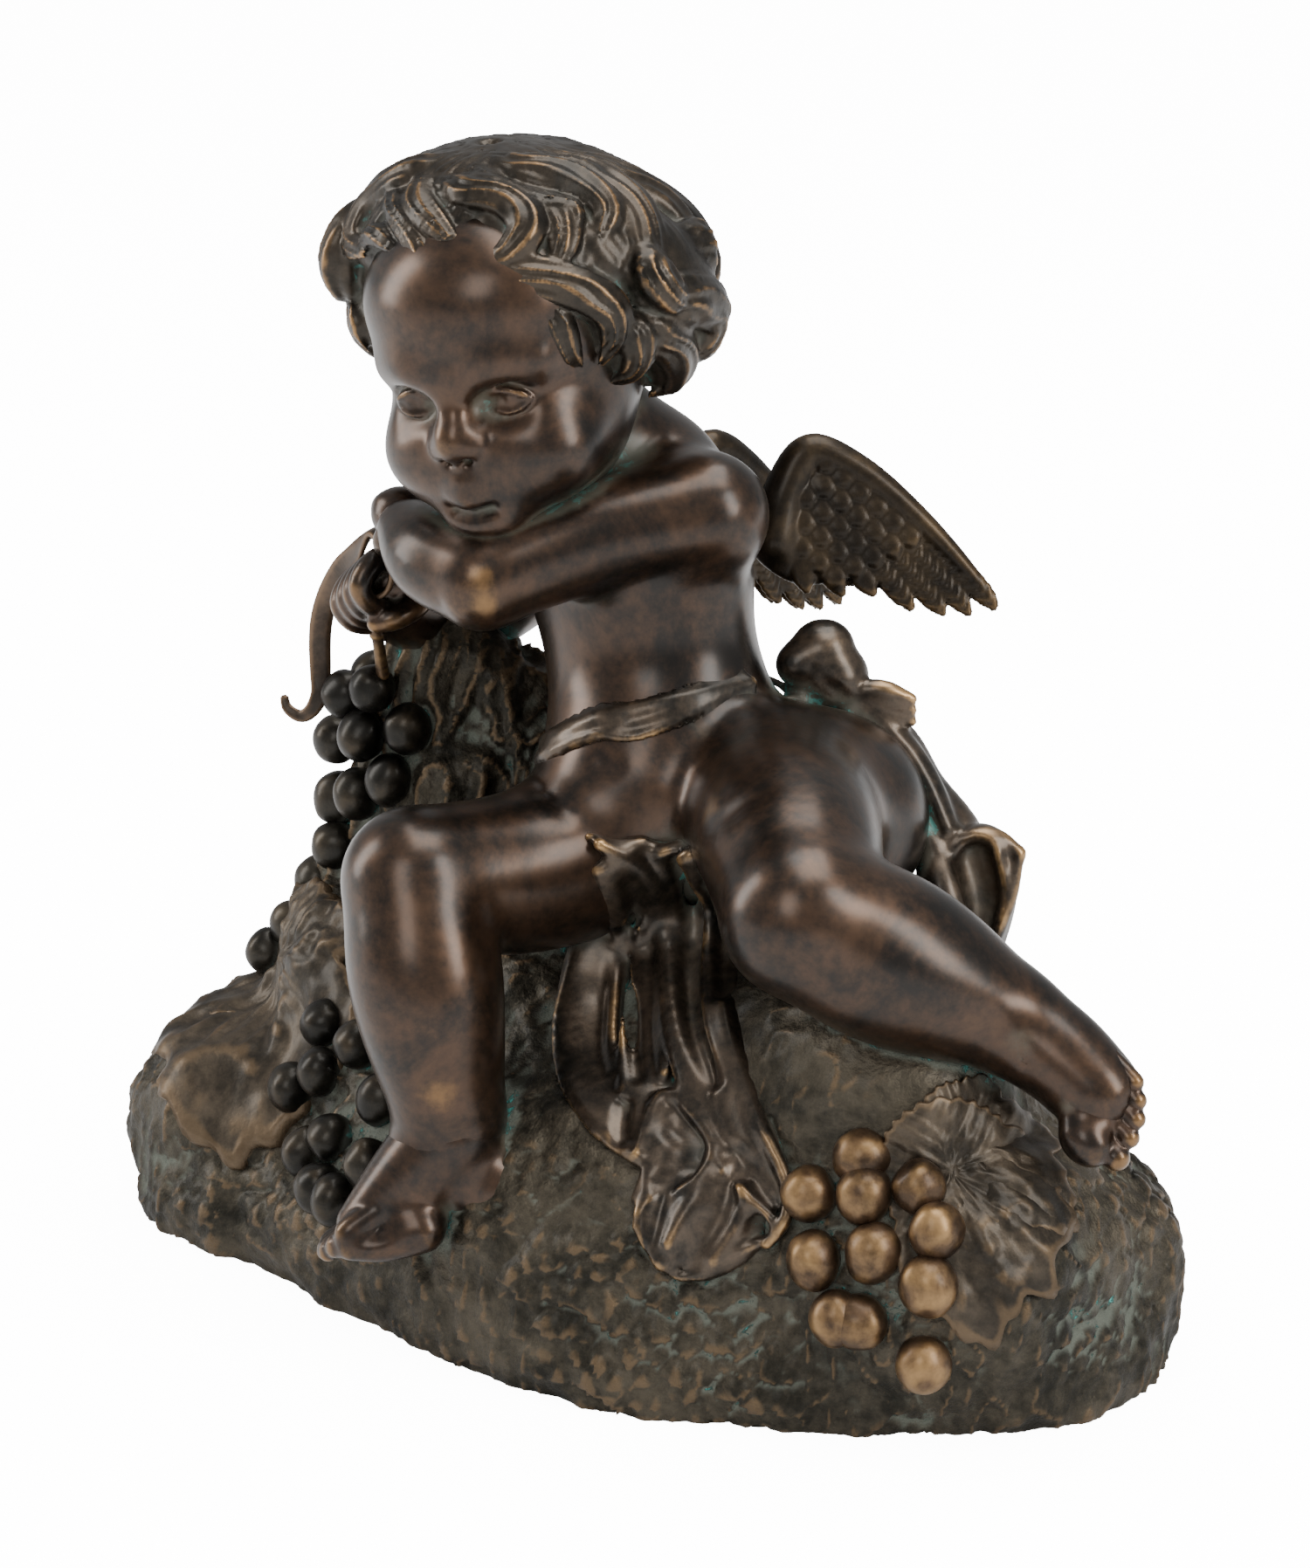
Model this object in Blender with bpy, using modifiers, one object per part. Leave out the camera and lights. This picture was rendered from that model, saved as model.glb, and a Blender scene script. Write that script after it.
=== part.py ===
"""A bronze putto seated on a rock mound. The figure, its wings and sash, the mound, the grapes and
the vine leaves are one hollow casting, modelled here as one solid. The flat bow in its right fist
is a piece of its own.

Metres, +Z up. The figure faces -Y, its left side is +X, and the origin is the centre of the
underside. Run with blender --background --python part.py."""

import math

import bmesh
import bpy
import numpy as np
from mathutils import Euler, Matrix, Vector
from mathutils.bvhtree import BVHTree

# Driving dimensions, in metres.
STATUE_HEIGHT = 0.4467
GRAPE_WIDTH = 0.0192
BOW_WIDTH = 0.0090
BOW_THICKNESS = 0.0026
BOW_CLEARANCE = 0.0006
STEM_WIDTH = 0.0046

# The figure and its mound keep their proportions. The statue is 446.7 parts high, so the places
# and half sizes below, which are in parts, are millimetres at the real size.
PART = STATUE_HEIGHT / 446.7
GRAPE = GRAPE_WIDTH / PART / 2

# The modelling mesh's voxels in parts, the rounds of smoothing, and the triangles kept at the end.
FLESH_VOXEL = 2.4
ROCK_VOXEL = 4
DETAIL_VOXEL = 1.7
FLESH_ROUNDS = 9
ROCK_ROUNDS = 26
DETAIL_ROUNDS = 2
CASTING_TRIANGLES = 8900


def turned(degrees):
    return Euler([math.radians(d) for d in degrees], "XYZ").to_matrix().to_4x4()


# The head's middle, and how it nods, leans to the right shoulder and turns to the left. The hair
# lies on an oval scalp, given in the head's own frame.
HERE = Matrix.Identity(4)
HEAD = Matrix.Translation((-58, -12, 366)) @ turned((9, -8, 13))
SCALP_MIDDLE = Vector((-2, 15, 15))
SCALP_HALF = Vector((65, 63, 60))


def smooth_path(rows, steps):
    """Catmull-Rom through rows of numbers, with steps rows for each span."""
    rows = np.array(rows, float)
    ends = np.vstack([2 * rows[0] - rows[1], rows, 2 * rows[-1] - rows[-2]])
    path = []
    for before, a, b, after in zip(ends, ends[1:], ends[2:], ends[3:]):
        for t in np.arange(steps) / steps:
            bend = 2 * before - 5 * a + 4 * b - after
            twist = 3 * a - before - 3 * b + after
            path.append(0.5 * (2 * a + (b - before) * t + bend * t**2 + twist * t**3))
    return path + [rows[-1]]


def add_mass(clay, middle, half_sizes, turn=(0, 0, 0), frame=HERE):
    """An oval ball of clay."""
    size = Matrix.Diagonal(Vector(half_sizes).to_4d())
    place = frame @ Matrix.Translation(middle) @ turned(turn) @ size
    bmesh.ops.create_uvsphere(clay, u_segments=24, v_segments=14, radius=1, matrix=place)


def add_strip(clay, places, normals, widths, heights, frame=HERE, steps=5, sides=12):
    """A closed loft of oval sections along a smooth path: at each place a normal, the half width
    across it and the half height along it. The ends are rounded."""
    rows = []
    for place, normal, width, height in zip(places, normals, widths, heights):
        rows.append((*(frame @ Vector(place)), *(frame.to_3x3() @ Vector(normal)), width, height))
    path = smooth_path(rows, steps)
    spots = [Vector(row[:3]) for row in path]
    sections = []
    for i, row in enumerate(path):
        along = (spots[min(i + 1, len(spots) - 1)] - spots[max(i - 1, 0)]).normalized()
        across = along.cross(Vector(row[3:6])).normalized()
        up = across.cross(along)
        width, height = max(row[6], 0.5), max(row[7], 0.5)
        reach = min(width, height)
        stages = [(0, 1)]
        if i == 0:
            stages = [(-0.95, 0.3), (-0.7, 0.72), (0, 1)]
        if i == len(path) - 1:
            stages = [(0, 1), (0.7, 0.72), (0.95, 0.3)]
        for shift, share in stages:
            centre = spots[i] + along * shift * reach
            wide = width - reach * (1 - share)
            high = height * share
            section = []
            for k in range(sides):
                angle = 2 * math.pi * k / sides
                offset = across * wide * math.cos(angle) + up * high * math.sin(angle)
                section.append(clay.verts.new(centre + offset))
            sections.append(section)
    for low, high in zip(sections, sections[1:]):
        for k in range(sides):
            after = (k + 1) % sides
            clay.faces.new((low[k], low[after], high[after], high[k]))
    clay.faces.new(list(reversed(sections[0])))
    clay.faces.new(sections[-1])


def add_limb(clay, places, radii, frame=HERE, steps=5):
    """A round loft along a smooth path. The normal is carried from place to place."""
    spots = [Vector(place) for place in places]
    normals = [(spots[1] - spots[0]).orthogonal().normalized()]
    for before, after in zip(spots, spots[1:]):
        along = (after - before).normalized()
        normals.append((normals[-1] - along * normals[-1].dot(along)).normalized())
    add_strip(clay, spots, normals, radii, radii, frame, steps)


def modified(clay, change):
    """The clay after the modifiers that change puts on it."""
    mesh = bpy.data.meshes.new("lump")
    clay.to_mesh(mesh)
    clay.free()
    lump = bpy.data.objects.new("lump", mesh)
    bpy.context.scene.collection.objects.link(lump)
    change(lump)
    result = bmesh.new()
    result.from_object(lump, bpy.context.evaluated_depsgraph_get())
    bpy.data.objects.remove(lump)
    bpy.data.meshes.remove(mesh)
    return result


def remeshed(clay, voxel, rounds):
    """The overlapping clay joined under one skin and smoothed."""
    def change(lump):
        skin = lump.modifiers.new("skin", "REMESH")
        skin.mode = "VOXEL"
        skin.voxel_size = voxel
        soften = lump.modifiers.new("soften", "SMOOTH")
        soften.factor = 0.5
        soften.iterations = rounds
    return modified(clay, change)


def thinned(clay, triangles):
    """The same skin with fewer triangles, most of them where it bends most."""
    def change(lump):
        thin = lump.modifiers.new("thin", "DECIMATE")
        thin.ratio = triangles / (2 * len(lump.data.polygons))
    return modified(clay, change)


def joined(clay, more):
    """One clay that holds both."""
    mesh = bpy.data.meshes.new("more")
    more.to_mesh(mesh)
    more.free()
    clay.from_mesh(mesh)
    bpy.data.meshes.remove(mesh)
    return clay


def on_skin(tree, place, lift=0):
    """The nearest point of a skin, lifted off it, and the way out there."""
    spot, normal, _, _ = tree.find_nearest(Vector(place))
    return spot + normal * lift, normal


def model_mound():
    """The rock: a low oval with steep sides, a shoulder on the left and a stump behind it."""
    clay = bmesh.new()
    add_mass(clay, (-95, -2, 10), (125, 109, 60))
    add_mass(clay, (42, 6, 10), (162, 112, 60), (0, 0, 9))
    add_mass(clay, (-163, -38, 26), (51, 62, 50))
    add_mass(clay, (162, 38, 40), (50, 56, 50))
    add_mass(clay, (0, 4, 58), (172, 100, 64))
    add_mass(clay, (140, -4, 50), (70, 62, 62))
    add_mass(clay, (-60, 25, 95), (112, 84, 60))
    add_mass(clay, (60, 25, 90), (97, 78, 62))
    add_mass(clay, (-132, 2, 84), (56, 52, 54))
    add_mass(clay, (-120, 28, 140), (44, 42, 70))
    add_mass(clay, (-40, -80, 20), (64, 36, 52))
    add_mass(clay, (20, -70, 24), (80, 44, 62))
    add_mass(clay, (108, -6, 112), (58, 46, 40))
    add_mass(clay, (30, 70, 60), (120, 52, 62))
    add_limb(clay, [(-118, 30, 130), (-124, 26, 180), (-127, 18, 226)], [40, 34, 21])
    add_limb(clay, [(-72, 44, 150), (-92, 36, 190), (-112, 22, 228)], [26, 24, 14])
    return remeshed(clay, ROCK_VOXEL, ROCK_ROUNDS)


def model_flesh():
    """The seated body: the trunk, both legs, the folded arms and the bare head."""
    clay = bmesh.new()
    add_mass(clay, (0, 28, 187), (56, 46, 42))
    add_mass(clay, (-8, 10, 200), (44, 44, 42))
    add_mass(clay, (-16, 21, 228), (44, 39, 38))
    add_mass(clay, (-30, 26, 268), (51, 40, 45), (0, -12, -18))
    add_mass(clay, (44, 42, 186), (43, 44, 42))
    add_mass(clay, (-34, 48, 182), (40, 40, 40))
    add_limb(clay, [(6, 22, 303), (-34, 34, 308), (-76, 42, 292)], [25, 29, 25])
    add_limb(clay, [(-37, 32, 308), (-50, 2, 338)], [27, 27])
    # The left leg lies along the mound, its foot over the right end.
    add_limb(clay, [(46, 18, 196), (80, -16, 197), (112, -47, 186)], [38, 34.5, 29.5])
    add_limb(clay, [(112, -47, 186), (136, -22, 167), (166, 4, 146)], [29.5, 31.5, 19.5])
    add_limb(clay, [(166, 4, 146), (186, 8, 136), (204, 10, 124), (216, 10, 114)], [19.5, 18.5, 17, 11])
    # The right leg is bent over the front, its foot pointing down.
    add_limb(clay, [(-12, -2, 178), (-24, -48, 172), (-35, -94, 178)], [36, 31.5, 27])
    add_limb(clay, [(-35, -94, 178), (-21, -103, 141), (-12, -101, 92)], [27, 28.5, 20])
    add_mass(clay, (0, -91, 66), (18.5, 19, 19))
    add_limb(clay, [(-12, -101, 92), (-22, -115, 68), (-35, -133, 46)], [20, 16.5, 9])
    # The left arm crosses under the chin; the right forearm comes forward to the fist.
    add_limb(clay, [(8, 20, 304), (-18, -16, 296), (-43, -48, 282)], [24.5, 20.5, 18.5])
    add_limb(clay, [(-43, -48, 282), (-70, -47, 286), (-95, -38, 291)], [18.5, 17.5, 13.5])
    add_limb(clay, [(-78, 42, 290), (-112, 45, 252), (-133, 38, 232)], [24.5, 20.5, 17.5])
    add_limb(clay, [(-133, 38, 232), (-130, 4, 243), (-124, -20, 254)], [17.5, 16.5, 13])
    # The head.
    add_mass(clay, (0, 6, 8), (51, 59, 51), frame=HEAD)
    add_mass(clay, (0, -12, -28), (43, 43, 36), frame=HEAD)
    for side in (-1, 1):
        add_mass(clay, (23 * side, -33, -31), (20, 19, 18), frame=HEAD)
    return remeshed(clay, FLESH_VOXEL, FLESH_ROUNDS)


def add_face(clay):
    """A calm child's face of plain proportions: brow, eyes, nose, mouth and chin."""
    add_mass(clay, (0, -28, 24), (40, 26, 24), frame=HEAD)
    add_limb(clay, [(0, -50, 0), (0, -57, -12), (0, -62, -22)], [4, 4.5, 6.5], HEAD)
    add_mass(clay, (0, -44, -39), (19, 15, 13), frame=HEAD)
    add_mass(clay, (0, -49, -54), (14, 11, 9), frame=HEAD)
    add_limb(clay, [(-11, -54, -38), (-4, -60, -37), (4, -60, -37), (11, -54, -38)], [2, 3, 3, 2], HEAD)
    add_mass(clay, (0, -57, -43), (8, 5, 3.6), frame=HEAD)
    for side in (-1, 1):
        add_mass(clay, (6.5 * side, -57, -23), (4.5, 5, 4.2), frame=HEAD)
        add_mass(clay, (20 * side, -42, -8), (10, 8.5, 7.5), frame=HEAD)
        brow = [(6 * side, -50, 4), (18 * side, -49, 7), (32 * side, -41, 4)]
        add_limb(clay, brow, [3, 4, 3.5], HEAD)
        lid = [(11 * side, -46, -9), (20 * side, -49, -3.5), (30 * side, -43, -8)]
        add_limb(clay, lid, [1.6, 2, 1.6], HEAD)


def scalp(azimuth, polar, lift):
    """A place over the scalp and the way out there: azimuth from the face to the left ear, polar
    from the crown, in degrees."""
    a, p = math.radians(azimuth), math.radians(polar)
    way = Vector((math.sin(p) * math.sin(a), -math.sin(p) * math.cos(a), math.cos(p)))
    spot = SCALP_MIDDLE + way * SCALP_HALF
    normal = Vector(w / s for w, s in zip(way, SCALP_HALF)).normalized()
    return spot + normal * lift, normal


def add_lock(clay, turns, width, height):
    """A lock of hair through places on the scalp, thick in the middle and pointed at its tip."""
    places, normals = zip(*(scalp(*turn) for turn in turns))
    shares = [0.55] + [1] * (len(turns) - 2) + [0.35]
    add_strip(clay, places, normals, [width * s for s in shares], [height * s for s in shares], HEAD)


def add_hair(clay):
    """Thick locks brushed from the crown, curling over the brow, the cheek and the nape."""
    add_mass(clay, (-2, 17, 17), (65, 60, 59), frame=HEAD)
    front_locks = [
        # Over the left cheek: a long S with its tip turned back.
        ([(12, 66, 2), (30, 68, 4), (46, 76, 5), (58, 88, 6), (59, 100, 5), (53, 110, 4)], 8, 5),
        # The round curl over the brow.
        ([(-20, 28, 1), (12, 33, 4), (34, 41, 6), (39, 53, 7), (29, 62, 6), (20, 57, 4)], 7.5, 5.5),
        ([(10, 12, 1), (55, 28, 4), (72, 42, 6), (74, 56, 6), (62, 66, 4)], 9, 5.5),
        # The thin strand that falls on the forehead.
        ([(-75, 38, 2), (-30, 41, 4), (-6, 55, 4), (3, 68, 2), (8, 79, -1)], 5.5, 4),
        ([(-20, 12, 1), (-50, 28, 4), (-72, 46, 5), (-64, 60, 5), (-42, 60, 3)], 8.5, 5.5),
        ([(-95, 22, 2), (-88, 45, 5), (-78, 62, 6), (-66, 76, 3)], 9, 5.5),
        ([(-90, 50, 5), (-76, 58, 9), (-70, 70, 11), (-74, 82, 8), (-84, 84, 4)], 7, 6),
        ([(92, 10, 1), (95, 36, 3), (91, 58, 5), (80, 76, 5), (70, 92, 3)], 10, 5.5),
        ([(107, 14, 1), (118, 44, 4), (122, 70, 6), (116, 92, 7), (102, 108, 5)], 11, 6),
        ([(130, 18, 1), (138, 50, 4), (134, 78, 8), (124, 96, 11), (112, 108, 9)], 11, 6.5),
        # Curls behind the left ear and at the nape.
        ([(72, 90, 3), (88, 98, 6), (106, 110, 9), (104, 120, 9), (92, 122, 5)], 8.5, 6),
        ([(52, 100, 1), (70, 108, 4), (90, 122, 6), (98, 134, 8), (90, 142, 6)], 7.5, 5.5),
        ([(44, 34, 1), (54, 49, 4), (50, 62, 5), (42, 71, 4)], 7.5, 4.5),
        ([(30, 76, 1), (40, 88, 3), (43, 102, 3), (47, 113, 2)], 6.5, 4),
        ([(-60, 60, 2), (-35, 52, 4), (-12, 60, 3)], 6, 4.5),
    ]
    for turns, width, height in front_locks:
        add_lock(clay, turns, width, height)
    # The back of the head: two rows of waving locks, the lower one ending in curls at the nape.
    for azimuth in range(146, 286, 20):
        turns = [(azimuth - 10, 14, 1), (azimuth + 8, 42, 4), (azimuth - 6, 68, 6)]
        add_lock(clay, turns + [(azimuth + 6, 90, 4)], 11, 6)
    for azimuth in range(136, 286, 19):
        turns = [(azimuth - 4, 78, 3), (azimuth + 7, 98, 7), (azimuth - 5, 116, 8)]
        add_lock(clay, turns + [(azimuth + 10, 130, 5)], 10.5, 6.5)


def add_hands(clay):
    """The right fist round the bow, and the left hand folded over the right wrist."""
    add_mass(clay, (-120, -27, 259), (14, 15, 12))
    for i in range(4):
        shift = Vector((-6, 2.5, -3.8)) * i
        curl = [(-112, -34, 271), (-113, -46, 269), (-113, -50, 261), (-113, -45, 252), (-113, -37, 251)]
        add_limb(clay, [Vector(place) + shift for place in curl], [5, 5.2, 5, 4.6, 4])
    add_limb(clay, [(-110, -22, 256), (-106, -34, 252), (-110, -43, 250)], [5.5, 5.2, 4.6])
    add_mass(clay, (-106, -31, 291), (15, 12.5, 13))
    for i in range(4):
        shift = Vector((0.8, 6, 1)) * i
        curl = [(-110, -40, 300), (-119, -41, 296), (-123, -40, 287), (-117, -38, 279)]
        add_limb(clay, [Vector(place) + shift for place in curl], [5, 5.2, 4.8, 4.2])


def add_feet(clay):
    """The toes of both feet, and the ball of the right foot."""
    left_toes = [(214, 5, 106, 6.5), (221, 10, 112, 4.8), (223, 13, 118, 4.6), (222, 15, 125, 4.4),
                 (219, 16, 131, 4)]
    for x, y, z, size in left_toes:
        add_mass(clay, (x, y, z), (size * 1.5, size, size), (0, 30, 10))
    add_mass(clay, (-15, -118, 55), (12, 13, 12))
    right_toes = [(-29, -137, 55, 5), (-33, -139, 48, 4.2), (-37, -138, 44, 4), (-41, -136, 43, 3.8),
                  (-44, -132, 43, 3.4)]
    for x, y, z, size in right_toes:
        add_mass(clay, (x, y, z), (size, size, size * 1.5), (35, 0, 0))


def add_sash(clay, skin):
    """The cloth tied round the waist: two rolls in front and behind, and the knot on the left hip."""
    rolls = [
        [(32, 60, 240), (30, 18, 236), (17, -6, 233), (-5, -24, 228), (-30, -30, 216), (-56, -8, 208),
         (-64, 34, 208), (-30, 72, 222), (10, 76, 236), (32, 60, 240)],
        [(34, 52, 232), (34, 14, 229), (20, -12, 222), (-4, -30, 214), (-32, -34, 203), (-58, -6, 198),
         (-66, 36, 198), (-32, 78, 210), (10, 82, 226), (34, 52, 232)],
    ]
    for roll in rolls:
        places, normals = zip(*(on_skin(skin, place, 0.5) for place in roll))
        add_strip(clay, places, normals, [5.5] * len(roll), [4] * len(roll))
    add_mass(clay, (32, 62, 243), (13, 13, 16), (20, 10, 0))
    add_mass(clay, (47, 66, 236), (12, 10, 9), (0, 20, 0))
    add_mass(clay, (63, 68, 229), (13, 9, 9), (0, 20, 0))
    # Its end falls over the buttock and opens like a trumpet.
    for shift in (-11, 0, 11):
        places = [(46, 68 + shift, 232), (72, 72 + shift, 214), (90, 74 + shift, 192)]
        places += [(100, 82 + shift, 172), (100, 88 + shift * 0.8, 148)]
        add_strip(clay, places, [(0.6, 0.3, 0.7)] * 5, [7, 8, 8, 8, 7], [5, 4, 4, 4, 4])
    rim = [(92, 72, 176), (104, 86, 178), (112, 97, 176), (108, 102, 150), (100, 98, 122)]
    add_strip(clay, rim, [(0.7, -0.6, 0)] * 5, [9, 9, 8, 8, 5], [3, 3, 3, 3, 3])


def add_drape(clay, skin):
    """The cloth that falls between the legs, in folds that spread over the mound."""
    folds = [
        ([(2, -42, 190), (14, -36, 180), (22, -26, 166), (26, -24, 146), (40, -36, 130)], 9, 6, 5),
        ([(14, -38, 182), (16, -26, 150), (18, -38, 130), (36, -58, 112), (62, -70, 98)], 7, 5, 5),
        ([(24, -28, 176), (26, -18, 150), (36, -30, 134), (56, -48, 118), (76, -62, 106)], 7, 6, 6),
        ([(30, -24, 170), (44, -14, 148), (64, -34, 130), (84, -46, 114), (100, -54, 100)], 8, 6, 6),
        ([(0, -30, 140), (-2, -40, 128), (2, -52, 116), (20, -66, 104), (44, -76, 92)], 7, 4, 4),
        ([(60, -68, 100), (68, -74, 90), (70, -78, 80), (76, -84, 70), (90, -86, 58)], 10, 5, 4),
        ([(96, -56, 100), (108, -62, 90), (114, -66, 78), (108, -74, 66), (94, -82, 54)], 9, 5, 4),
        ([(80, -74, 84), (92, -74, 76), (98, -78, 66), (96, -82, 54)], 14, 4, 3),
    ]
    sheet = [(8, -36, 186), (20, -28, 160), (30, -26, 138), (50, -50, 114), (76, -64, 96), (92, -76, 66)]
    folds.append((sheet, 24, 4, 3))
    for fold, width, height, lift in folds:
        places, normals = zip(*(on_skin(skin, place, lift * 0.4) for place in fold))
        add_strip(clay, places, normals, [width] * len(fold), [height] * len(fold))


def add_grapes(clay, skin):
    """Three bunches: the one held by its stem against the stump, and one on each side in front."""
    held = [(-152, -13, 208), (-133, -17, 215), (-140, -17, 194), (-165, -6, 185), (-121, -10, 199),
            (-127, -15, 178), (-145, -15, 168), (-164, -7, 161), (-160, -13, 143), (-173, -10, 124),
            (-172, -26, 110), (-182, -30, 97), (-150, -2, 222), (-160, 8, 200), (-150, -6, 140)]
    for x, y, z in held:
        add_mass(clay, (x, y, z), (GRAPE, GRAPE, GRAPE * 1.15))
    left = [(-119, -60, 90), (-105, -74, 76), (-121, -74, 66), (-86, -92, 62), (-96, -94, 52),
            (-66, -110, 46), (-52, -102, 60), (-66, -86, 80), (-90, -72, 92), (-76, -102, 44)]
    right = [(133, -43, 104), (164, -43, 102), (148, -57, 92), (127, -60, 88), (180, -54, 87),
             (161, -65, 74), (136, -69, 66), (181, -61, 61), (154, -66, 45), (171, -56, 32),
             (141, -70, 46)]
    for place in left + right:
        spot, _ = on_skin(skin, place, GRAPE * 0.35)
        add_mass(clay, spot, (GRAPE, GRAPE, GRAPE))
    stem = STEM_WIDTH / PART / 2
    add_limb(clay, [(-120, -30, 252), (-123, -24, 241), (-127, -17, 224)], [stem] * 3)


def add_leaf(clay, skin, lobes, lift):
    """A vine leaf laid on the rock: each lobe is a flat strip from the stalk to its tip."""
    for lobe, width in lobes:
        places, normals = zip(*(on_skin(skin, place, lift) for place in lobe))
        shares = [0.5] + [1] * (len(lobe) - 2) + [0.3]
        add_strip(clay, places, normals, [width * s for s in shares], [3] * len(lobe))


def add_leaves(clay, skin):
    left = [
        ([(-158, -28, 92), (-150, -56, 78), (-143, -84, 57), (-138, -100, 36)], 13),
        ([(-160, -28, 92), (-176, -50, 76), (-168, -78, 62), (-154, -94, 50)], 12),
        ([(-154, -32, 90), (-138, -58, 78), (-128, -76, 60)], 11),
        ([(-164, -26, 95), (-184, -32, 84), (-196, -46, 72), (-200, -60, 62)], 10),
    ]
    right = [
        ([(170, -32, 106), (190, -34, 92), (202, -36, 72), (198, -42, 42)], 15),
        ([(170, -28, 106), (192, -8, 98), (208, -8, 86), (214, -20, 68)], 13),
        ([(168, -24, 108), (182, -2, 106), (200, 6, 96), (212, 2, 86)], 9),
        ([(176, -40, 98), (186, -50, 82), (190, -52, 60)], 9),
    ]
    back = [
        ([(40, 108, 96), (60, 112, 78), (84, 114, 56), (104, 108, 36)], 14),
        ([(40, 108, 96), (30, 114, 70), (36, 116, 44)], 12),
        ([(40, 106, 98), (74, 96, 92), (100, 92, 76)], 11),
    ]
    for lobes in (left, right, back):
        add_leaf(clay, skin, lobes, 2.5)


def add_wing(clay, shoulder, wrist, elbow, tip, heel, side):
    """A small wing: a bone along its front edge, long feathers behind it and two rows of short
    ones over them."""
    bone = smooth_path([shoulder, wrist, elbow, tip], 4)
    hem = smooth_path([heel, heel.lerp(tip, 0.42) - Vector((0, 0, 9)), tip], 6)
    normal = (tip - shoulder).cross(wrist - shoulder).normalized() * side
    add_limb(clay, bone[::4], [8, 7, 5, 3])
    feathers = 9
    for i in range(feathers):
        share = i / (feathers - 1)
        start = Vector(bone[2 + round(share * 8)])
        end = Vector(hem[round(share * 12)])
        middle = start.lerp(end, 0.5) + normal * 1.5
        add_strip(clay, [start, middle, end], [normal] * 3, [5.5, 6.5, 4], [3, 3, 2.4])
        for reach, lift in ((0.38, 3), (0.6, 2)):
            cover = [start, start.lerp(end, reach / 2) + normal * lift, start.lerp(end, reach)]
            add_strip(clay, cover, [normal] * 3, [6, 6.5, 5], [3, 3, 2.5])


def add_wings(clay):
    left = [(0, 66, 292), (5, 87, 324), (38, 108, 299), (68, 125, 262), (14, 76, 268)]
    add_wing(clay, *(Vector(place) for place in left), 1)
    right = [(-46, 68, 290), (-48, 90, 316), (-36, 122, 288), (-28, 148, 240), (-44, 80, 262)]
    add_wing(clay, *(Vector(place) for place in right), -1)
    add_limb(clay, [(-10, 56, 284), (0, 68, 286), (6, 80, 300)], [14, 12, 8])
    add_limb(clay, [(-40, 58, 282), (-46, 70, 284), (-47, 84, 296)], [14, 12, 8])


def bow_strip(grow):
    """The flat bow: out of the fist, over the back of the hand and down to its curled tip. Grow is
    added all round, in parts."""
    toward_front = (0.63, -0.71, 0.31)
    route = [
        ((-119, -39, 261), (0, 0, -1)), ((-110, -38, 261.5), (0.2, 0.1, -1)),
        ((-103.5, -37, 265), (0.75, 0.5, -0.6)), ((-101, -37, 272), (0.75, 0.66, 0)),
        ((-103, -37.5, 279), (0.6, 0.5, 0.6)), ((-108, -36, 284.5), (0.2, 0.1, 1)),
        ((-116, -32, 284.5), (0.2, -0.4, 0.9)), ((-127, -26, 277.5), (0.5, -0.65, 0.5)),
        ((-139, -20.5, 267), toward_front), ((-151, -16, 256), toward_front),
        ((-161, -13, 243), toward_front), ((-166.5, -14, 230), toward_front),
        ((-168, -18, 216), toward_front), ((-165.5, -22, 204), toward_front),
        ((-167, -24, 195.5), toward_front), ((-172.5, -25, 191.5), toward_front),
        ((-178, -25, 194), toward_front), ((-179.5, -24, 200), toward_front),
    ]
    clay = bmesh.new()
    places, normals = zip(*route)
    full = BOW_WIDTH / PART / 2
    tip = [full * share for share in (0.85, 0.6, 0.42, 0.3)]
    widths = [full * 0.8] * 6 + [full] * (len(route) - 10) + tip
    heights = [BOW_THICKNESS / PART / 2] * len(route)
    widths = [width + grow for width in widths]
    heights = [height + grow for height in heights]
    add_strip(clay, places, normals, widths, heights, steps=3, sides=8)
    return clay


def finished(clay, name, collection, material):
    """The clay as an object, brought from parts to metres."""
    bmesh.ops.scale(clay, vec=(PART, PART, PART), verts=clay.verts)
    bmesh.ops.recalc_face_normals(clay, faces=clay.faces)
    mesh = bpy.data.meshes.new(name)
    clay.to_mesh(mesh)
    clay.free()
    mesh.shade_smooth()
    thing = bpy.data.objects.new(name, mesh)
    collection.objects.link(thing)
    if material:
        mesh.materials.append(material)
    return thing


def add_cut(casting, cutter):
    cutter.hide_render = True
    cutter.display_type = "WIRE"
    cut = casting.modifiers.new(cutter.name, "BOOLEAN")
    cut.operation = "DIFFERENCE"
    cut.solver = "EXACT"
    cut.object = cutter


def keep_largest(clay):
    """Drops the closed hollows that overlapping clay leaves inside."""
    left = set(clay.verts)
    groups = []
    while left:
        group = {left.pop()}
        edge = list(group)
        while edge:
            vert = edge.pop()
            for link in vert.link_edges:
                other = link.other_vert(vert)
                if other not in group:
                    group.add(other)
                    edge.append(other)
        left -= group
        groups.append(group)
    groups.sort(key=len)
    bmesh.ops.delete(clay, geom=[vert for group in groups[:-1] for vert in group], context="VERTS")


def bronze(name, colour, roughness):
    material = bpy.data.materials.new(name)
    material.use_nodes = True
    shader = material.node_tree.nodes["Principled BSDF"]
    shader.inputs["Base Color"].default_value = colour
    shader.inputs["Roughness"].default_value = roughness
    shader.inputs["Metallic"].default_value = 0.85
    return material


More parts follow.
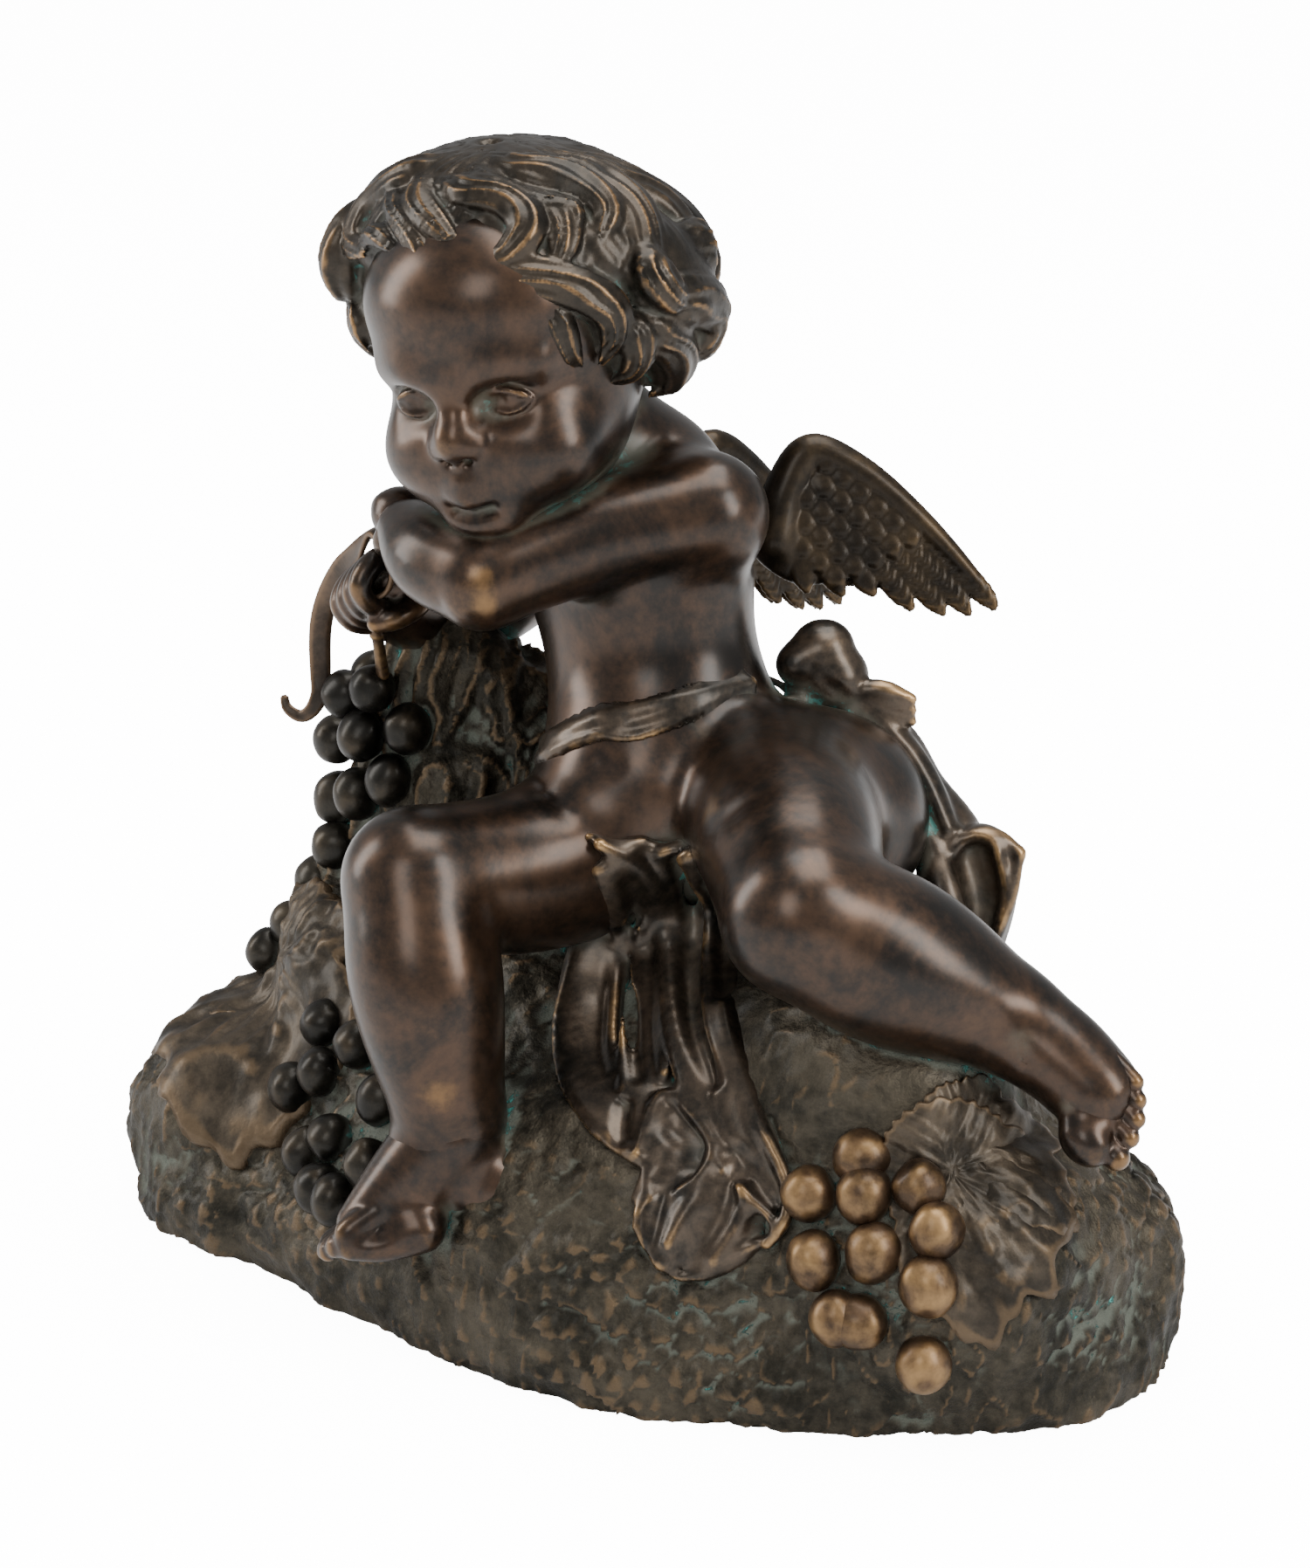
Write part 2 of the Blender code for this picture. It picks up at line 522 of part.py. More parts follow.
def build():
    for thing in list(bpy.data.objects):
        bpy.data.objects.remove(thing)
    statue = bpy.data.collections.new("bronze_putto")
    cutters = bpy.data.collections.new("cutters")
    for collection in (statue, cutters):
        bpy.context.scene.collection.children.link(collection)

    core = joined(model_mound(), model_flesh())
    skin = BVHTree.FromBMesh(core)
    clay = bmesh.new()
    add_face(clay)
    add_hair(clay)
    add_hands(clay)
    add_feet(clay)
    add_sash(clay, skin)
    add_drape(clay, skin)
    add_grapes(clay, skin)
    add_leaves(clay, skin)
    add_wings(clay)
    whole = remeshed(joined(clay, core), DETAIL_VOXEL, DETAIL_ROUNDS)
    keep_largest(whole)
    whole = thinned(whole, CASTING_TRIANGLES)
    casting = finished(whole, "putto_casting", statue, bronze("dark_bronze", (0.07, 0.045, 0.03, 1), 0.32))
    ground = bmesh.new()
    bmesh.ops.create_cube(ground, size=600, matrix=Matrix.Translation((0, 0, -300)))
    add_cut(casting, finished(ground, "ground", cutters, None))
    slot = finished(bow_strip(BOW_CLEARANCE / PART), "bow_slot", cutters, None)
    add_cut(casting, slot)
    finished(bow_strip(0), "bow", statue, bronze("worn_bronze", (0.12, 0.085, 0.05, 1), 0.45))


build()
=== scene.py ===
"""The looks of a bronze putto seated on a rock mound, with grapes, vine leaves and a flat bow."""

import math

import bmesh
import bpy
import numpy as np
from mathutils import Matrix, Vector
from mathutils.bvhtree import BVHTree


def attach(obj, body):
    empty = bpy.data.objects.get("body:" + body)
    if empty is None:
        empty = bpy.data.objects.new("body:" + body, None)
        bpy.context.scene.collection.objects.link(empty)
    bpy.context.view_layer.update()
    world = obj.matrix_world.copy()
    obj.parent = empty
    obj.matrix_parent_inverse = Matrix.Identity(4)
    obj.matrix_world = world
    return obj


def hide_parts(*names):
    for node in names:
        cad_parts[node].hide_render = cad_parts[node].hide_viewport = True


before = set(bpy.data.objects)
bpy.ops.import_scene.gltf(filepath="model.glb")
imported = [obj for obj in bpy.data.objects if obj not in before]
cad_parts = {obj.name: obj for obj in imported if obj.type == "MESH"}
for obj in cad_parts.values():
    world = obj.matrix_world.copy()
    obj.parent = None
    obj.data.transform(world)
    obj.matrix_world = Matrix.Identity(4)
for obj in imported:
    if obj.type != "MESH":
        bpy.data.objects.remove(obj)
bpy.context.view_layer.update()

# The rock mound and the stump behind the figure. They are one hollow sand casting in dark bronze,
# modelled in clay, combed into bark on the stump and pressed with a small tool into overlapping
# scales lower down.
MM = 0.001
COARSE = 1
FAR = 50.0
STILL = np.eye(4)
lumps_of_clay = []
pieces = {}


def turning(degrees):
    x, y, z = (Matrix.Rotation(math.radians(d), 3, axis) for d, axis in zip(degrees, "XYZ"))
    return np.array(z @ y @ x)


def placed(where, spots):
    return np.asarray(spots, float) @ where[:3, :3].T + where[:3, 3]


def smooth_path(rows, steps):
    """Catmull-Rom through rows of numbers, with steps rows for each span."""
    rows = np.array(rows, float)
    ends = np.vstack([2 * rows[0] - rows[1], rows, 2 * rows[-1] - rows[-2]])
    path = []
    for before, a, b, after in zip(ends, ends[1:], ends[2:], ends[3:]):
        for t in np.arange(steps) / steps:
            bend = 2 * before - 5 * a + 4 * b - after
            twist = 3 * a - before - 3 * b + after
            path.append(0.5 * (2 * a + (b - before) * t + bend * t**2 + twist * t**3))
    return np.array(path + [rows[-1]])


class Clay:
    """Modelling clay on a grid, in millimetres. Each cell holds its distance to the skin, which is
    minus inside the clay. A blend is the width over which two lumps run together."""

    def __init__(self, low, high, cell):
        self.low = np.array(low, float)
        self.cell = cell * COARSE
        counts = np.ceil((np.array(high) - self.low) / self.cell).astype(int) + 1
        self.axes = [(a + self.cell * np.arange(n)).astype(np.float32) for a, n in zip(self.low, counts)]
        self.depth = np.full(counts, FAR, np.float32)
        lumps_of_clay.append(self)

    def window(self, low, high):
        size = np.array(self.depth.shape)
        first = np.clip(np.floor((low - self.low) / self.cell).astype(int), 0, size - 1)
        last = np.clip(np.ceil((high - self.low) / self.cell).astype(int) + 1, first + 1, size)
        return tuple(slice(a, b) for a, b in zip(first, last))

    def cells(self, box):
        x, y, z = (axis[part] for axis, part in zip(self.axes, box))
        return x[:, None, None], y[None, :, None], z[None, None, :]

    def press(self, box, field, blend, cut):
        side = -1 if cut else 1
        here = side * self.depth[box]
        mix = np.maximum(blend - np.abs(here - field), 0) / max(blend, 1e-6)
        self.depth[box] = side * (np.minimum(here, field) - mix * mix * blend / 4)

    def ball(self, middle, half, turn=(0, 0, 0), blend=8, cut=False, where=STILL):
        middle = placed(where, middle)
        half = np.array(half, float)
        way = where[:3, :3] @ turning(turn)
        reach = half.max() + blend + 3 * self.cell
        box = self.window(middle - reach, middle + reach)
        x, y, z = (a - b for a, b in zip(self.cells(box), middle))
        local = [x * way[0, i] + y * way[1, i] + z * way[2, i] for i in range(3)]
        near = np.sqrt(sum((a / r) ** 2 for a, r in zip(local, half)))
        steep = np.sqrt(sum((a / r**2) ** 2 for a, r in zip(local, half)))
        self.press(box, near * (near - 1) / np.maximum(steep, 1e-6), blend, cut)

    def sweep(self, rows, wide, blend, cut, distance):
        reach = wide + blend + 3 * self.cell
        whole = self.window(rows[:, :3].min(0) - reach, rows[:, :3].max(0) + reach)
        field = np.full(self.depth[whole].shape, FAR, np.float32)
        run = 0.0
        for a, b in zip(rows[:-1], rows[1:]):
            box = self.window(np.minimum(a[:3], b[:3]) - reach, np.maximum(a[:3], b[:3]) + reach)
            part = tuple(slice(p.start - w.start, p.stop - w.start) for p, w in zip(box, whole))
            x, y, z = (c - d for c, d in zip(self.cells(box), a))
            field[part] = np.minimum(field[part], distance(x, y, z, a, b, run))
            run += np.linalg.norm(b[:3] - a[:3])
        self.press(whole, field, blend, cut)

    def roll(self, spots, radii, blend=8, cut=False, where=STILL, steps=8):
        """A round roll of clay through the spots."""
        def distance(x, y, z, a, b, run):
            way = b[:3] - a[:3]
            t = np.clip((x * way[0] + y * way[1] + z * way[2]) / max(way @ way, 1e-9), 0, 1)
            off = (x - t * way[0]) ** 2 + (y - t * way[1]) ** 2 + (z - t * way[2]) ** 2
            return np.sqrt(off) - (a[3] + t * (b[3] - a[3]))
        rows = smooth_path(np.column_stack([placed(where, spots), radii]), steps)
        self.sweep(rows, max(radii), blend, cut, distance)

    def strap(self, spots, normals, widths, heights, blend=1, cut=False, where=STILL, steps=5,
              strands=0, groove=0, slant=0, barbs=False):
        """A flat strap through the spots, half as wide and high as given, combed lengthways into
        strands, which slant turns across it. Barbs run both ways from the middle."""
        count = len(spots)
        normals = np.broadcast_to(np.array(normals, float), (count, 3)) @ where[:3, :3].T
        widths = np.broadcast_to(np.array(widths, float), (count,))
        heights = np.broadcast_to(np.array(heights, float), (count,))

        def distance(x, y, z, a, b, run):
            way = b[:3] - a[:3]
            length = max(np.linalg.norm(way), 1e-6)
            way = way / length
            up = (a[3:6] + b[3:6]) / 2
            up = up - way * (up @ way)
            up = up / max(np.linalg.norm(up), 1e-6)
            side = np.cross(way, up)
            along = x * way[0] + y * way[1] + z * way[2]
            t = np.clip(along / length, 0, 1)
            over = along - t * length
            rise = x * up[0] + y * up[1] + z * up[2]
            cross = x * side[0] + y * side[1] + z * side[2]
            wide, high = a[6] + t * (b[6] - a[6]), a[7] + t * (b[7] - a[7])
            near = np.sqrt((cross / wide) ** 2 + (rise / high) ** 2 + (over / high) ** 2)
            steep = np.sqrt((cross / wide**2) ** 2 + (rise / high**2) ** 2 + (over / high**2) ** 2)
            field = near * (near - 1) / np.maximum(steep, 1e-6)
            if strands:
                share = cross / wide
                down = run + t * length
                turn = np.abs(share) if barbs else share + 0.16 * np.sin(down * 0.16 + 2 * share + a[6])
                wave = 0.5 - 0.5 * np.cos(math.pi * (strands * turn + 1) + slant * down)
                field = field + groove * wave * np.clip(1.15 - share * share, 0, 1)
            return field
        rows = smooth_path(np.column_stack([placed(where, spots), normals, widths, heights]), steps)
        rows[:, 6:] = np.maximum(rows[:, 6:], 0.2)
        self.sweep(rows, max(widths.max(), heights.max()), blend, cut, distance)

    def skin(self):
        """The skin as points and four-sided faces, by a surface net."""
        depth = self.depth
        for axis in range(3):
            for end in (0, -1):
                edge = [slice(None)] * 3
                edge[axis] = end
                depth[tuple(edge)] = np.maximum(depth[tuple(edge)], self.cell / 2)
        inside = depth < 0
        corners = [(i, j, k) for i in (0, 1) for j in (0, 1) for k in (0, 1)]
        count = np.array(depth.shape) - 1
        some, every = np.zeros(count, bool), np.ones(count, bool)
        for c in corners:
            shifted = inside[c[0]:c[0] + count[0], c[1]:c[1] + count[1], c[2]:c[2] + count[2]]
            some |= shifted
            every &= shifted
        crossed = np.argwhere(some & ~every)
        values = np.stack([depth[tuple((crossed + c).T)] for c in corners], 1)
        total, hits = np.zeros((len(crossed), 3)), np.zeros(len(crossed))
        for i, a in enumerate(corners):
            for j in range(i + 1, 8):
                step = np.array(corners[j]) - a
                if np.abs(step).sum() != 1:
                    continue
                start, end = values[:, i], values[:, j]
                hit = (start < 0) != (end < 0)
                t = np.where(hit, start / np.where(hit, start - end, 1), 0)
                total += hit[:, None] * (np.array(a) + t[:, None] * step)
                hits += hit
        points = self.low + self.cell * (crossed + total / hits[:, None])
        index = np.full(count, -1, np.int32)
        index[tuple(crossed.T)] = np.arange(len(crossed))
        faces = []
        for axis in range(3):
            others = [m for m in range(3) if m != axis]
            low, high = [slice(1, -1)] * 3, [slice(1, -1)] * 3
            low[axis], high[axis] = slice(0, -1), slice(1, None)
            a, b = inside[tuple(low)], inside[tuple(high)]
            for leaving, mask in ((True, a & ~b), (False, ~a & b)):
                edges = np.argwhere(mask)
                edges[:, others] += 1
                ring = []
                for d1, d2 in ((0, 0), (-1, 0), (-1, -1), (0, -1)):
                    cell = edges.copy()
                    cell[:, others[0]] += d1
                    cell[:, others[1]] += d2
                    ring.append(index[tuple(cell.T)])
                ring = np.stack(ring, 1)
                faces.append(ring if leaving != (axis == 1) else ring[:, ::-1])
        return points, np.vstack(faces)


def edges_of(faces):
    pairs = np.vstack([faces[:, [i, (i + 1) % faces.shape[1]]] for i in range(faces.shape[1])])
    return np.unique(np.sort(pairs, 1), axis=0)


def relaxed(points, edges, rounds):
    """The points, each drawn halfway to the middle of its neighbours, this many times."""
    a, b = edges.T
    count = len(points)
    around = np.maximum(np.bincount(a, minlength=count) + np.bincount(b, minlength=count), 1)
    points = points.copy()
    for _ in range(rounds):
        for axis in range(3):
            line = points[:, axis]
            total = np.bincount(a, line[b], count) + np.bincount(b, line[a], count)
            points[:, axis] = (line + total / around) / 2
    return points


def normals_of(points, faces):
    across = points[faces[:, 2]] - points[faces[:, 0]]
    upward = points[faces[:, 3 % faces.shape[1]]] - points[faces[:, 1]]
    flat = np.cross(across, upward)
    out = np.zeros_like(points)
    for corner in range(faces.shape[1]):
        for axis in range(3):
            out[:, axis] += np.bincount(faces[:, corner], flat[:, axis], len(points))
    return out / np.maximum(np.linalg.norm(out, axis=1, keepdims=True), 1e-9)


def chance(cells, seed):
    """A fixed number from 0 to 1 for each whole-numbered cell."""
    k = cells.astype(np.int64)
    mixed = (k[..., 0] * 73856093) ^ (k[..., 1] * 19349663) ^ (k[..., 2] * 83492791) ^ (seed * 26544357)
    mixed = ((mixed ^ (mixed >> 13)) * 1274126177) & 0xFFFFFFFF
    return ((mixed ^ (mixed >> 15)) & 0xFFFF) / 65535.0


def swells(points, size, seed):
    """Soft uneven swelling from -1 to 1, in waves about size wide."""
    spots = points / size
    base = np.floor(spots)
    part = spots - base
    part = part * part * (3 - 2 * part)
    total = np.zeros(len(points))
    for corner in np.ndindex(2, 2, 2):
        share = np.prod(np.where(np.array(corner), part, 1 - part), axis=1)
        total += share * chance(base + corner, seed)
    return 2 * total - 1


def scales(points, size, seed):
    """For each point: how far it is from the nearest scale's middle, in sizes, and which way."""
    spots = points / size
    base = np.floor(spots)
    best = np.full(len(points), 9.0)
    way = np.zeros((len(points), 3))
    for corner in np.ndindex(3, 3, 3):
        cell = base + corner - 1
        middle = cell + np.stack([chance(cell, seed + i) for i in range(3)], 1)
        off = spots - middle
        gap = np.linalg.norm(off, axis=1)
        nearer = gap < best
        best[nearer] = gap[nearer]
        way[nearer] = off[nearer]
    return best, way


def stand(name, data):
    """A new object on the stand, so in the scene."""
    thing = bpy.data.objects.new(name, data)
    bpy.context.scene.collection.objects.link(thing)
    return thing


def new_object(name, points, faces):
    """A smooth mesh object from points in millimetres."""
    mesh = bpy.data.meshes.new(name)
    mesh.vertices.add(len(points))
    mesh.vertices.foreach_set("co", np.asarray(points * MM, np.float32).ravel())
    sides = faces.shape[1]
    mesh.loops.add(faces.size)
    mesh.loops.foreach_set("vertex_index", faces.astype(np.int32).ravel())
    mesh.polygons.add(len(faces))
    mesh.polygons.foreach_set("loop_start", np.arange(0, faces.size, sides, dtype=np.int32))
    mesh.update(calc_edges=True)
    mesh.shade_smooth()
    return stand(name, mesh)


def finish_piece(thing, material, node="putto_casting"):
    thing.data.materials.clear()
    thing.data.materials.append(material)
    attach(thing, "root")
    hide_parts(node)
    pieces[thing.name] = thing


def patina_group():
    """The patina's colour, shine and grain, from how hollow or proud the metal is at each point."""
    group = bpy.data.node_groups.new("bronze_patina", "ShaderNodeTree")
    sockets = group.interface
    sockets.new_socket("Place", in_out="INPUT", socket_type="NodeSocketVector")
    for name in ("Hollow", "Crest", "Shine", "Wax", "Grain", "Rub Amount", "Dust Amount", "Green Amount"):
        sockets.new_socket(name, in_out="INPUT", socket_type="NodeSocketFloat")
    for name in ("Dark", "Brown", "Rub", "Dust", "Green"):
        sockets.new_socket(name, in_out="INPUT", socket_type="NodeSocketColor")
    sockets.new_socket("Color", in_out="OUTPUT", socket_type="NodeSocketColor")
    for name in ("Roughness", "Metallic", "Coat", "Height"):
        sockets.new_socket(name, in_out="OUTPUT", socket_type="NodeSocketFloat")
    nodes, links = group.nodes, group.links
    given = nodes.new("NodeGroupInput")
    out = nodes.new("NodeGroupOutput")

    def noise(scale, detail=4, rough=0.6, warp=0):
        node = nodes.new("ShaderNodeTexNoise")
        node.inputs["Scale"].default_value = scale
        node.inputs["Detail"].default_value = detail
        node.inputs["Roughness"].default_value = rough
        node.inputs["Distortion"].default_value = warp
        links.new(given.outputs["Place"], node.inputs["Vector"])
        return node.outputs["Fac"]

    def math_node(kind, a, b=0.5, c=0.5):
        node = nodes.new("ShaderNodeMath")
        node.operation = kind
        for socket, value in zip(node.inputs, (a, b, c)):
            if isinstance(value, (int, float)):
                socket.default_value = value
            else:
                links.new(value, socket)
        return node.outputs[0]

    def ramp(value, low, high):
        node = nodes.new("ShaderNodeMapRange")
        node.interpolation_type = "SMOOTHSTEP"
        node.inputs["From Min"].default_value = low
        node.inputs["From Max"].default_value = high
        links.new(value, node.inputs["Value"])
        return node.outputs["Result"]

    def mix(factor, a, b):
        node = nodes.new("ShaderNodeMix")
        node.data_type = "RGBA"
        links.new(factor, node.inputs["Factor"])
        links.new(a, node.inputs["A"])
        links.new(b, node.inputs["B"])
        return node.outputs["Result"]

    # Two colours of wax in uneven clouds.
    blotch = noise(26, 5, 0.62, 0.6)
    fine = noise(210, 4, 0.6)
    cloud = math_node("ADD", math_node("MULTIPLY", blotch, 0.72), math_node("MULTIPLY", fine, 0.28))
    colour = mix(ramp(cloud, 0.36, 0.66), given.outputs["Dark"], given.outputs["Brown"])
    # Bright metal where the wax is rubbed off the crests.
    worn = math_node("ADD", given.outputs["Crest"], math_node("MULTIPLY_ADD", blotch, 0.7, -0.35))
    worn = ramp(math_node("ADD", worn, math_node("MULTIPLY_ADD", fine, 0.35, -0.17)), 0.35, 0.95)
    worn = math_node("MULTIPLY", worn, given.outputs["Rub Amount"])
    colour = mix(worn, colour, given.outputs["Rub"])
    # Grey dust in the hollows, and flecks of verdigris.
    patchy = math_node("MULTIPLY_ADD", noise(70, 5, 0.65), 0.9, -0.5)
    soot = ramp(math_node("ADD", given.outputs["Hollow"], patchy), 0.15, 0.75)
    soot = math_node("MULTIPLY", soot, given.outputs["Dust Amount"])
    colour = mix(soot, colour, given.outputs["Dust"])
    crust = math_node("ADD", math_node("MULTIPLY", given.outputs["Hollow"], 0.3), noise(150, 6, 0.75, 0.8))
    crust = math_node("MULTIPLY", ramp(crust, 0.78, 0.9), given.outputs["Green Amount"])
    colour = mix(crust, colour, given.outputs["Green"])
    # Both lie dull and rough over the metal.
    dull = math_node("MAXIMUM", soot, crust)
    rough = math_node("ADD", given.outputs["Shine"], math_node("MULTIPLY", dull, 0.38))
    rough = math_node("ADD", rough, math_node("MULTIPLY_ADD", fine, 0.16, -0.08))
    links.new(colour, out.inputs["Color"])
    links.new(rough, out.inputs["Roughness"])
    links.new(math_node("MULTIPLY_ADD", dull, -0.7, 0.92), out.inputs["Metallic"])
    coat = math_node("MULTIPLY", math_node("MULTIPLY_ADD", dull, -0.9, 1.0), given.outputs["Wax"])
    links.new(coat, out.inputs["Coat"])
    grain = math_node("ADD", fine, math_node("MULTIPLY", crust, 0.8))
    grain = math_node("MULTIPLY", grain, given.outputs["Grain"])
    links.new(grain, out.inputs["Height"])
    return group


PATINA = patina_group()


VERDIGRIS = (0.035, 0.18, 0.16)


def bronze(name, dark, brown, rub, dust, shine, wax, rub_amount, dust_amount, green_amount, grain, relief):
    """Patinated bronze under wax. Relief is the grain's height in metres."""
    material = bpy.data.materials.new(name)
    material.use_nodes = True
    nodes, links = material.node_tree.nodes, material.node_tree.links
    shader = nodes["Principled BSDF"]
    patina = nodes.new("ShaderNodeGroup")
    patina.node_tree = PATINA
    links.new(nodes.new("ShaderNodeTexCoord").outputs["Object"], patina.inputs["Place"])
    for mark in ("hollow", "crest"):
        read = nodes.new("ShaderNodeAttribute")
        read.attribute_name = mark
        links.new(read.outputs["Fac"], patina.inputs[mark.title()])
    colours = {"Dark": dark, "Brown": brown, "Rub": rub, "Dust": dust, "Green": VERDIGRIS}
    for socket, colour in colours.items():
        patina.inputs[socket].default_value = (*colour, 1)
    amounts = {"Shine": shine, "Wax": wax, "Rub Amount": rub_amount, "Dust Amount": dust_amount,
               "Green Amount": green_amount, "Grain": grain}
    for socket, amount in amounts.items():
        patina.inputs[socket].default_value = amount
    bump = nodes.new("ShaderNodeBump")
    bump.inputs["Distance"].default_value = relief
    bump.inputs["Strength"].default_value = 1
    links.new(patina.outputs["Height"], bump.inputs["Height"])
    links.new(bump.outputs["Normal"], shader.inputs["Normal"])
    for given, taken in (("Color", "Base Color"), ("Roughness", "Roughness"), ("Metallic", "Metallic"),
                         ("Coat", "Coat Weight")):
        links.new(patina.outputs[given], shader.inputs[taken])
    shader.inputs["Coat Roughness"].default_value = 0.26
    return material


rock_bronze = bronze("rock_bronze", (0.016, 0.015, 0.011), (0.086, 0.073, 0.053), (0.19, 0.125, 0.068),
                     (0.070, 0.080, 0.064), 0.54, 0.14, 0.5, 0.8, 1.0, 1, 0.0014)

rock_clay = Clay((-236, -138, -4), (230, 150, 240), 2.1)
for middle, half, turn in (
        ((-95, -2, 10), (125, 104, 60), (0, 0, 0)), ((40, 6, 10), (158, 112, 60), (0, 0, 9)),
        ((-168, -38, 28), (58, 64, 54), (0, 0, 0)), ((157, 38, 40), (48, 56, 50), (0, 0, 0)),
        ((0, 4, 58), (172, 100, 64), (0, 0, 0)), ((140, -4, 50), (70, 62, 62), (0, 0, 0)),
        ((-60, 25, 95), (112, 84, 60), (0, 0, 0)), ((60, 25, 90), (97, 78, 62), (0, 0, 0)),
        ((-132, 2, 84), (56, 52, 54), (0, 0, 0)), ((-120, 28, 140), (44, 42, 70), (0, 0, 0)),
        ((-40, -80, 20), (62, 31, 52), (0, 0, 0)), ((20, -70, 24), (80, 44, 62), (0, 0, 0)),
        ((108, -6, 112), (58, 46, 40), (0, 0, 0)), ((30, 70, 60), (120, 52, 62), (0, 0, 0)),
        ((164, 32, 6), (46, 54, 34), (0, 0, 0)), ((-166, -56, 6), (47, 43, 26), (0, 0, 0))):
    rock_clay.ball(middle, half, turn, blend=20)
rock_clay.roll([(-118, 30, 130), (-124, 26, 180), (-127, 18, 224)], [40, 34, 21], blend=14)
rock_clay.roll([(-72, 44, 150), (-92, 36, 190), (-112, 22, 226)], [26, 24, 14], blend=10)
rock_clay.roll([(-140, 3, 204), (-151, 6, 160), (-160, -2, 118)], [9, 12, 14], blend=12)


def work_rock(clay):
    """The mound's skin after the tools: broad swells, bark down the stump, pressed scales below."""
    points, faces = clay.skin()
    edges = edges_of(faces)
    points = relaxed(points, edges, 5)
    normals = normals_of(points, faces)
    height = points[:, 2]
    lift = 3.4 * swells(points, 34, 3) + 2.2 * swells(points, 14, 5) + 0.6 * swells(points, 6, 7)
    at_foot = np.clip((14 - height) / 14, 0, 1)
    lift += 1.6 * swells(points, 18, 9) * at_foot
    # Bark: long ridges that run down the stump and over the mound's right shoulder.
    flow = np.column_stack([points[:, 0], points[:, 1], height * 0.22])
    flow = flow + 7 * np.column_stack([swells(points, 30, s) for s in (11, 12, 13)])
    ridge = 1 - np.abs(swells(flow, 9, 15))
    fine_ridge = 1 - np.abs(swells(flow, 4.5, 16))
    up_high, to_the_right = np.clip((height - 92) / 50, 0, 1), np.clip((20 - points[:, 0]) / 60, 0, 1)
    bark = up_high * to_the_right
    shaggy = np.clip((-95 - points[:, 0]) / 40, 0, 1) * np.clip((height - 40) / 40, 0, 1)
    bark = np.maximum(bark, 0.6 * shaggy)
    lift += bark * (4.8 * (ridge**3 - 0.4) + 2.0 * (fine_ridge**2 - 0.4))
    # Pressed scales: each rises to its lower rim, as if the tool was dragged upwards.
    bent = points + 2.5 * np.column_stack([swells(points, 16, s) for s in (21, 22, 23)])
    gap, way = scales(bent * (1, 1, 0.72), 7.6, 31)
    press = np.clip(0.62 - gap, -0.2, 0.5) * 1.5 - np.clip(way[:, 2], -0.5, 0.5) * 1.3
    patches = swells(points, 38, 41)
    down_low = (1 - bark) * np.clip((125 - height) / 40, 0, 1)
    lift += 2.0 * press * down_low * np.clip(0.65 + patches, 0.15, 1)
    # Strands dragged down between the scales.
    dragged = np.column_stack([points[:, 0], points[:, 1], height * 0.35])
    dragged = dragged + 5 * np.column_stack([swells(points, 24, s) for s in (51, 52, 53)])
    strand = 1 - np.abs(swells(dragged, 7, 54))
    lift += 2.1 * (strand**3 - 0.4) * (1 - bark) * np.clip(0.45 - 1.1 * patches, 0, 1)
    # Smoother where the drape lies and the left leg shades it.
    covered = np.exp(-((points[:, 0] - 55) / 55) ** 2 - ((height - 118) / 50) ** 2) * (points[:, 1] < 0)
    lift = lift * (1 - 0.7 * covered)
    points = points + normals * lift[:, None]
    points[:, 2] = np.maximum(points[:, 2], 0)
    return points, faces


def flat_bottom(thing):
    """The many flat faces on the ground made one."""
    form = bmesh.new()
    form.from_mesh(thing.data)
    low = [face for face in form.faces if max(v.co.z for v in face.verts) < 1e-5]
    bmesh.ops.delete(form, geom=low, context="FACES")
    rim = [edge for edge in form.edges if edge.is_boundary]
    made = bmesh.ops.holes_fill(form, edges=rim, sides=0)
    for face in made["faces"]:
        face.smooth = False
    form.to_mesh(thing.data)
    form.free()


rock = new_object("rock_mound", *work_rock(rock_clay))
flat_bottom(rock)
rock_skin = BVHTree.FromObject(rock, bpy.context.evaluated_depsgraph_get())
finish_piece(rock, rock_bronze)


# The child's body: trunk, arms and legs, cast in one with the mound, chased smooth and waxed to a
# deep gloss. It sits on the mound with its left leg along it and its right leg over the front.
skin_bronze = bronze("skin_bronze", (0.012, 0.009, 0.007), (0.070, 0.037, 0.020), (0.30, 0.165, 0.06),
                     (0.062, 0.066, 0.050), 0.36, 0.6, 0.62, 0.6, 0.4, 0.35, 0.00018)

flesh = Clay((-166, -150, 34), (236, 98, 352), 2.1)
flesh.ball((0, 28, 187), (56, 46, 42))
flesh.ball((-8, 10, 200), (44, 44, 42), blend=14)
flesh.ball((-16, 21, 228), (44, 39, 36), blend=14)
flesh.ball((-30, 26, 268), (51, 40, 45), (0, -12, -18), blend=16)
flesh.roll([(4, 23, 300), (-34, 34, 305), (-76, 42, 292)], [20, 26.5, 25], blend=14)
flesh.roll([(-37, 32, 308), (-50, 2, 338)], [27, 27], blend=10)
flesh.ball((44, 42, 186), (43, 44, 42), blend=14)
flesh.ball((-34, 48, 182), (40, 40, 40), blend=14)
# The left leg, with its dimpled knee and the fat fold at the ankle.
flesh.roll([(46, 18, 196), (80, -16, 197), (112, -47, 186)], [38, 34, 29], blend=12)
flesh.roll([(112, -47, 186), (136, -22, 167), (166, 4, 146)], [29, 31, 19], blend=5)
flesh.roll([(166, 4, 146), (186, 8, 136), (202, 10, 126)], [19, 18, 16], blend=6)
# The right leg, bent over the front, with the fold behind its knee.
flesh.roll([(-12, -2, 178), (-24, -48, 172), (-35, -94, 178)], [36, 31, 27], blend=12)
flesh.roll([(-35, -94, 178), (-21, -103, 141), (-12, -101, 92)], [27, 28.5, 20], blend=4)
flesh.roll([(-12, -101, 92), (-16, -108, 78)], [20, 17], blend=6)
flesh.roll([(8, -84, 184), (3, -92, 170), (6, -94, 158)], [3, 3.5, 2.5], blend=7, cut=True)
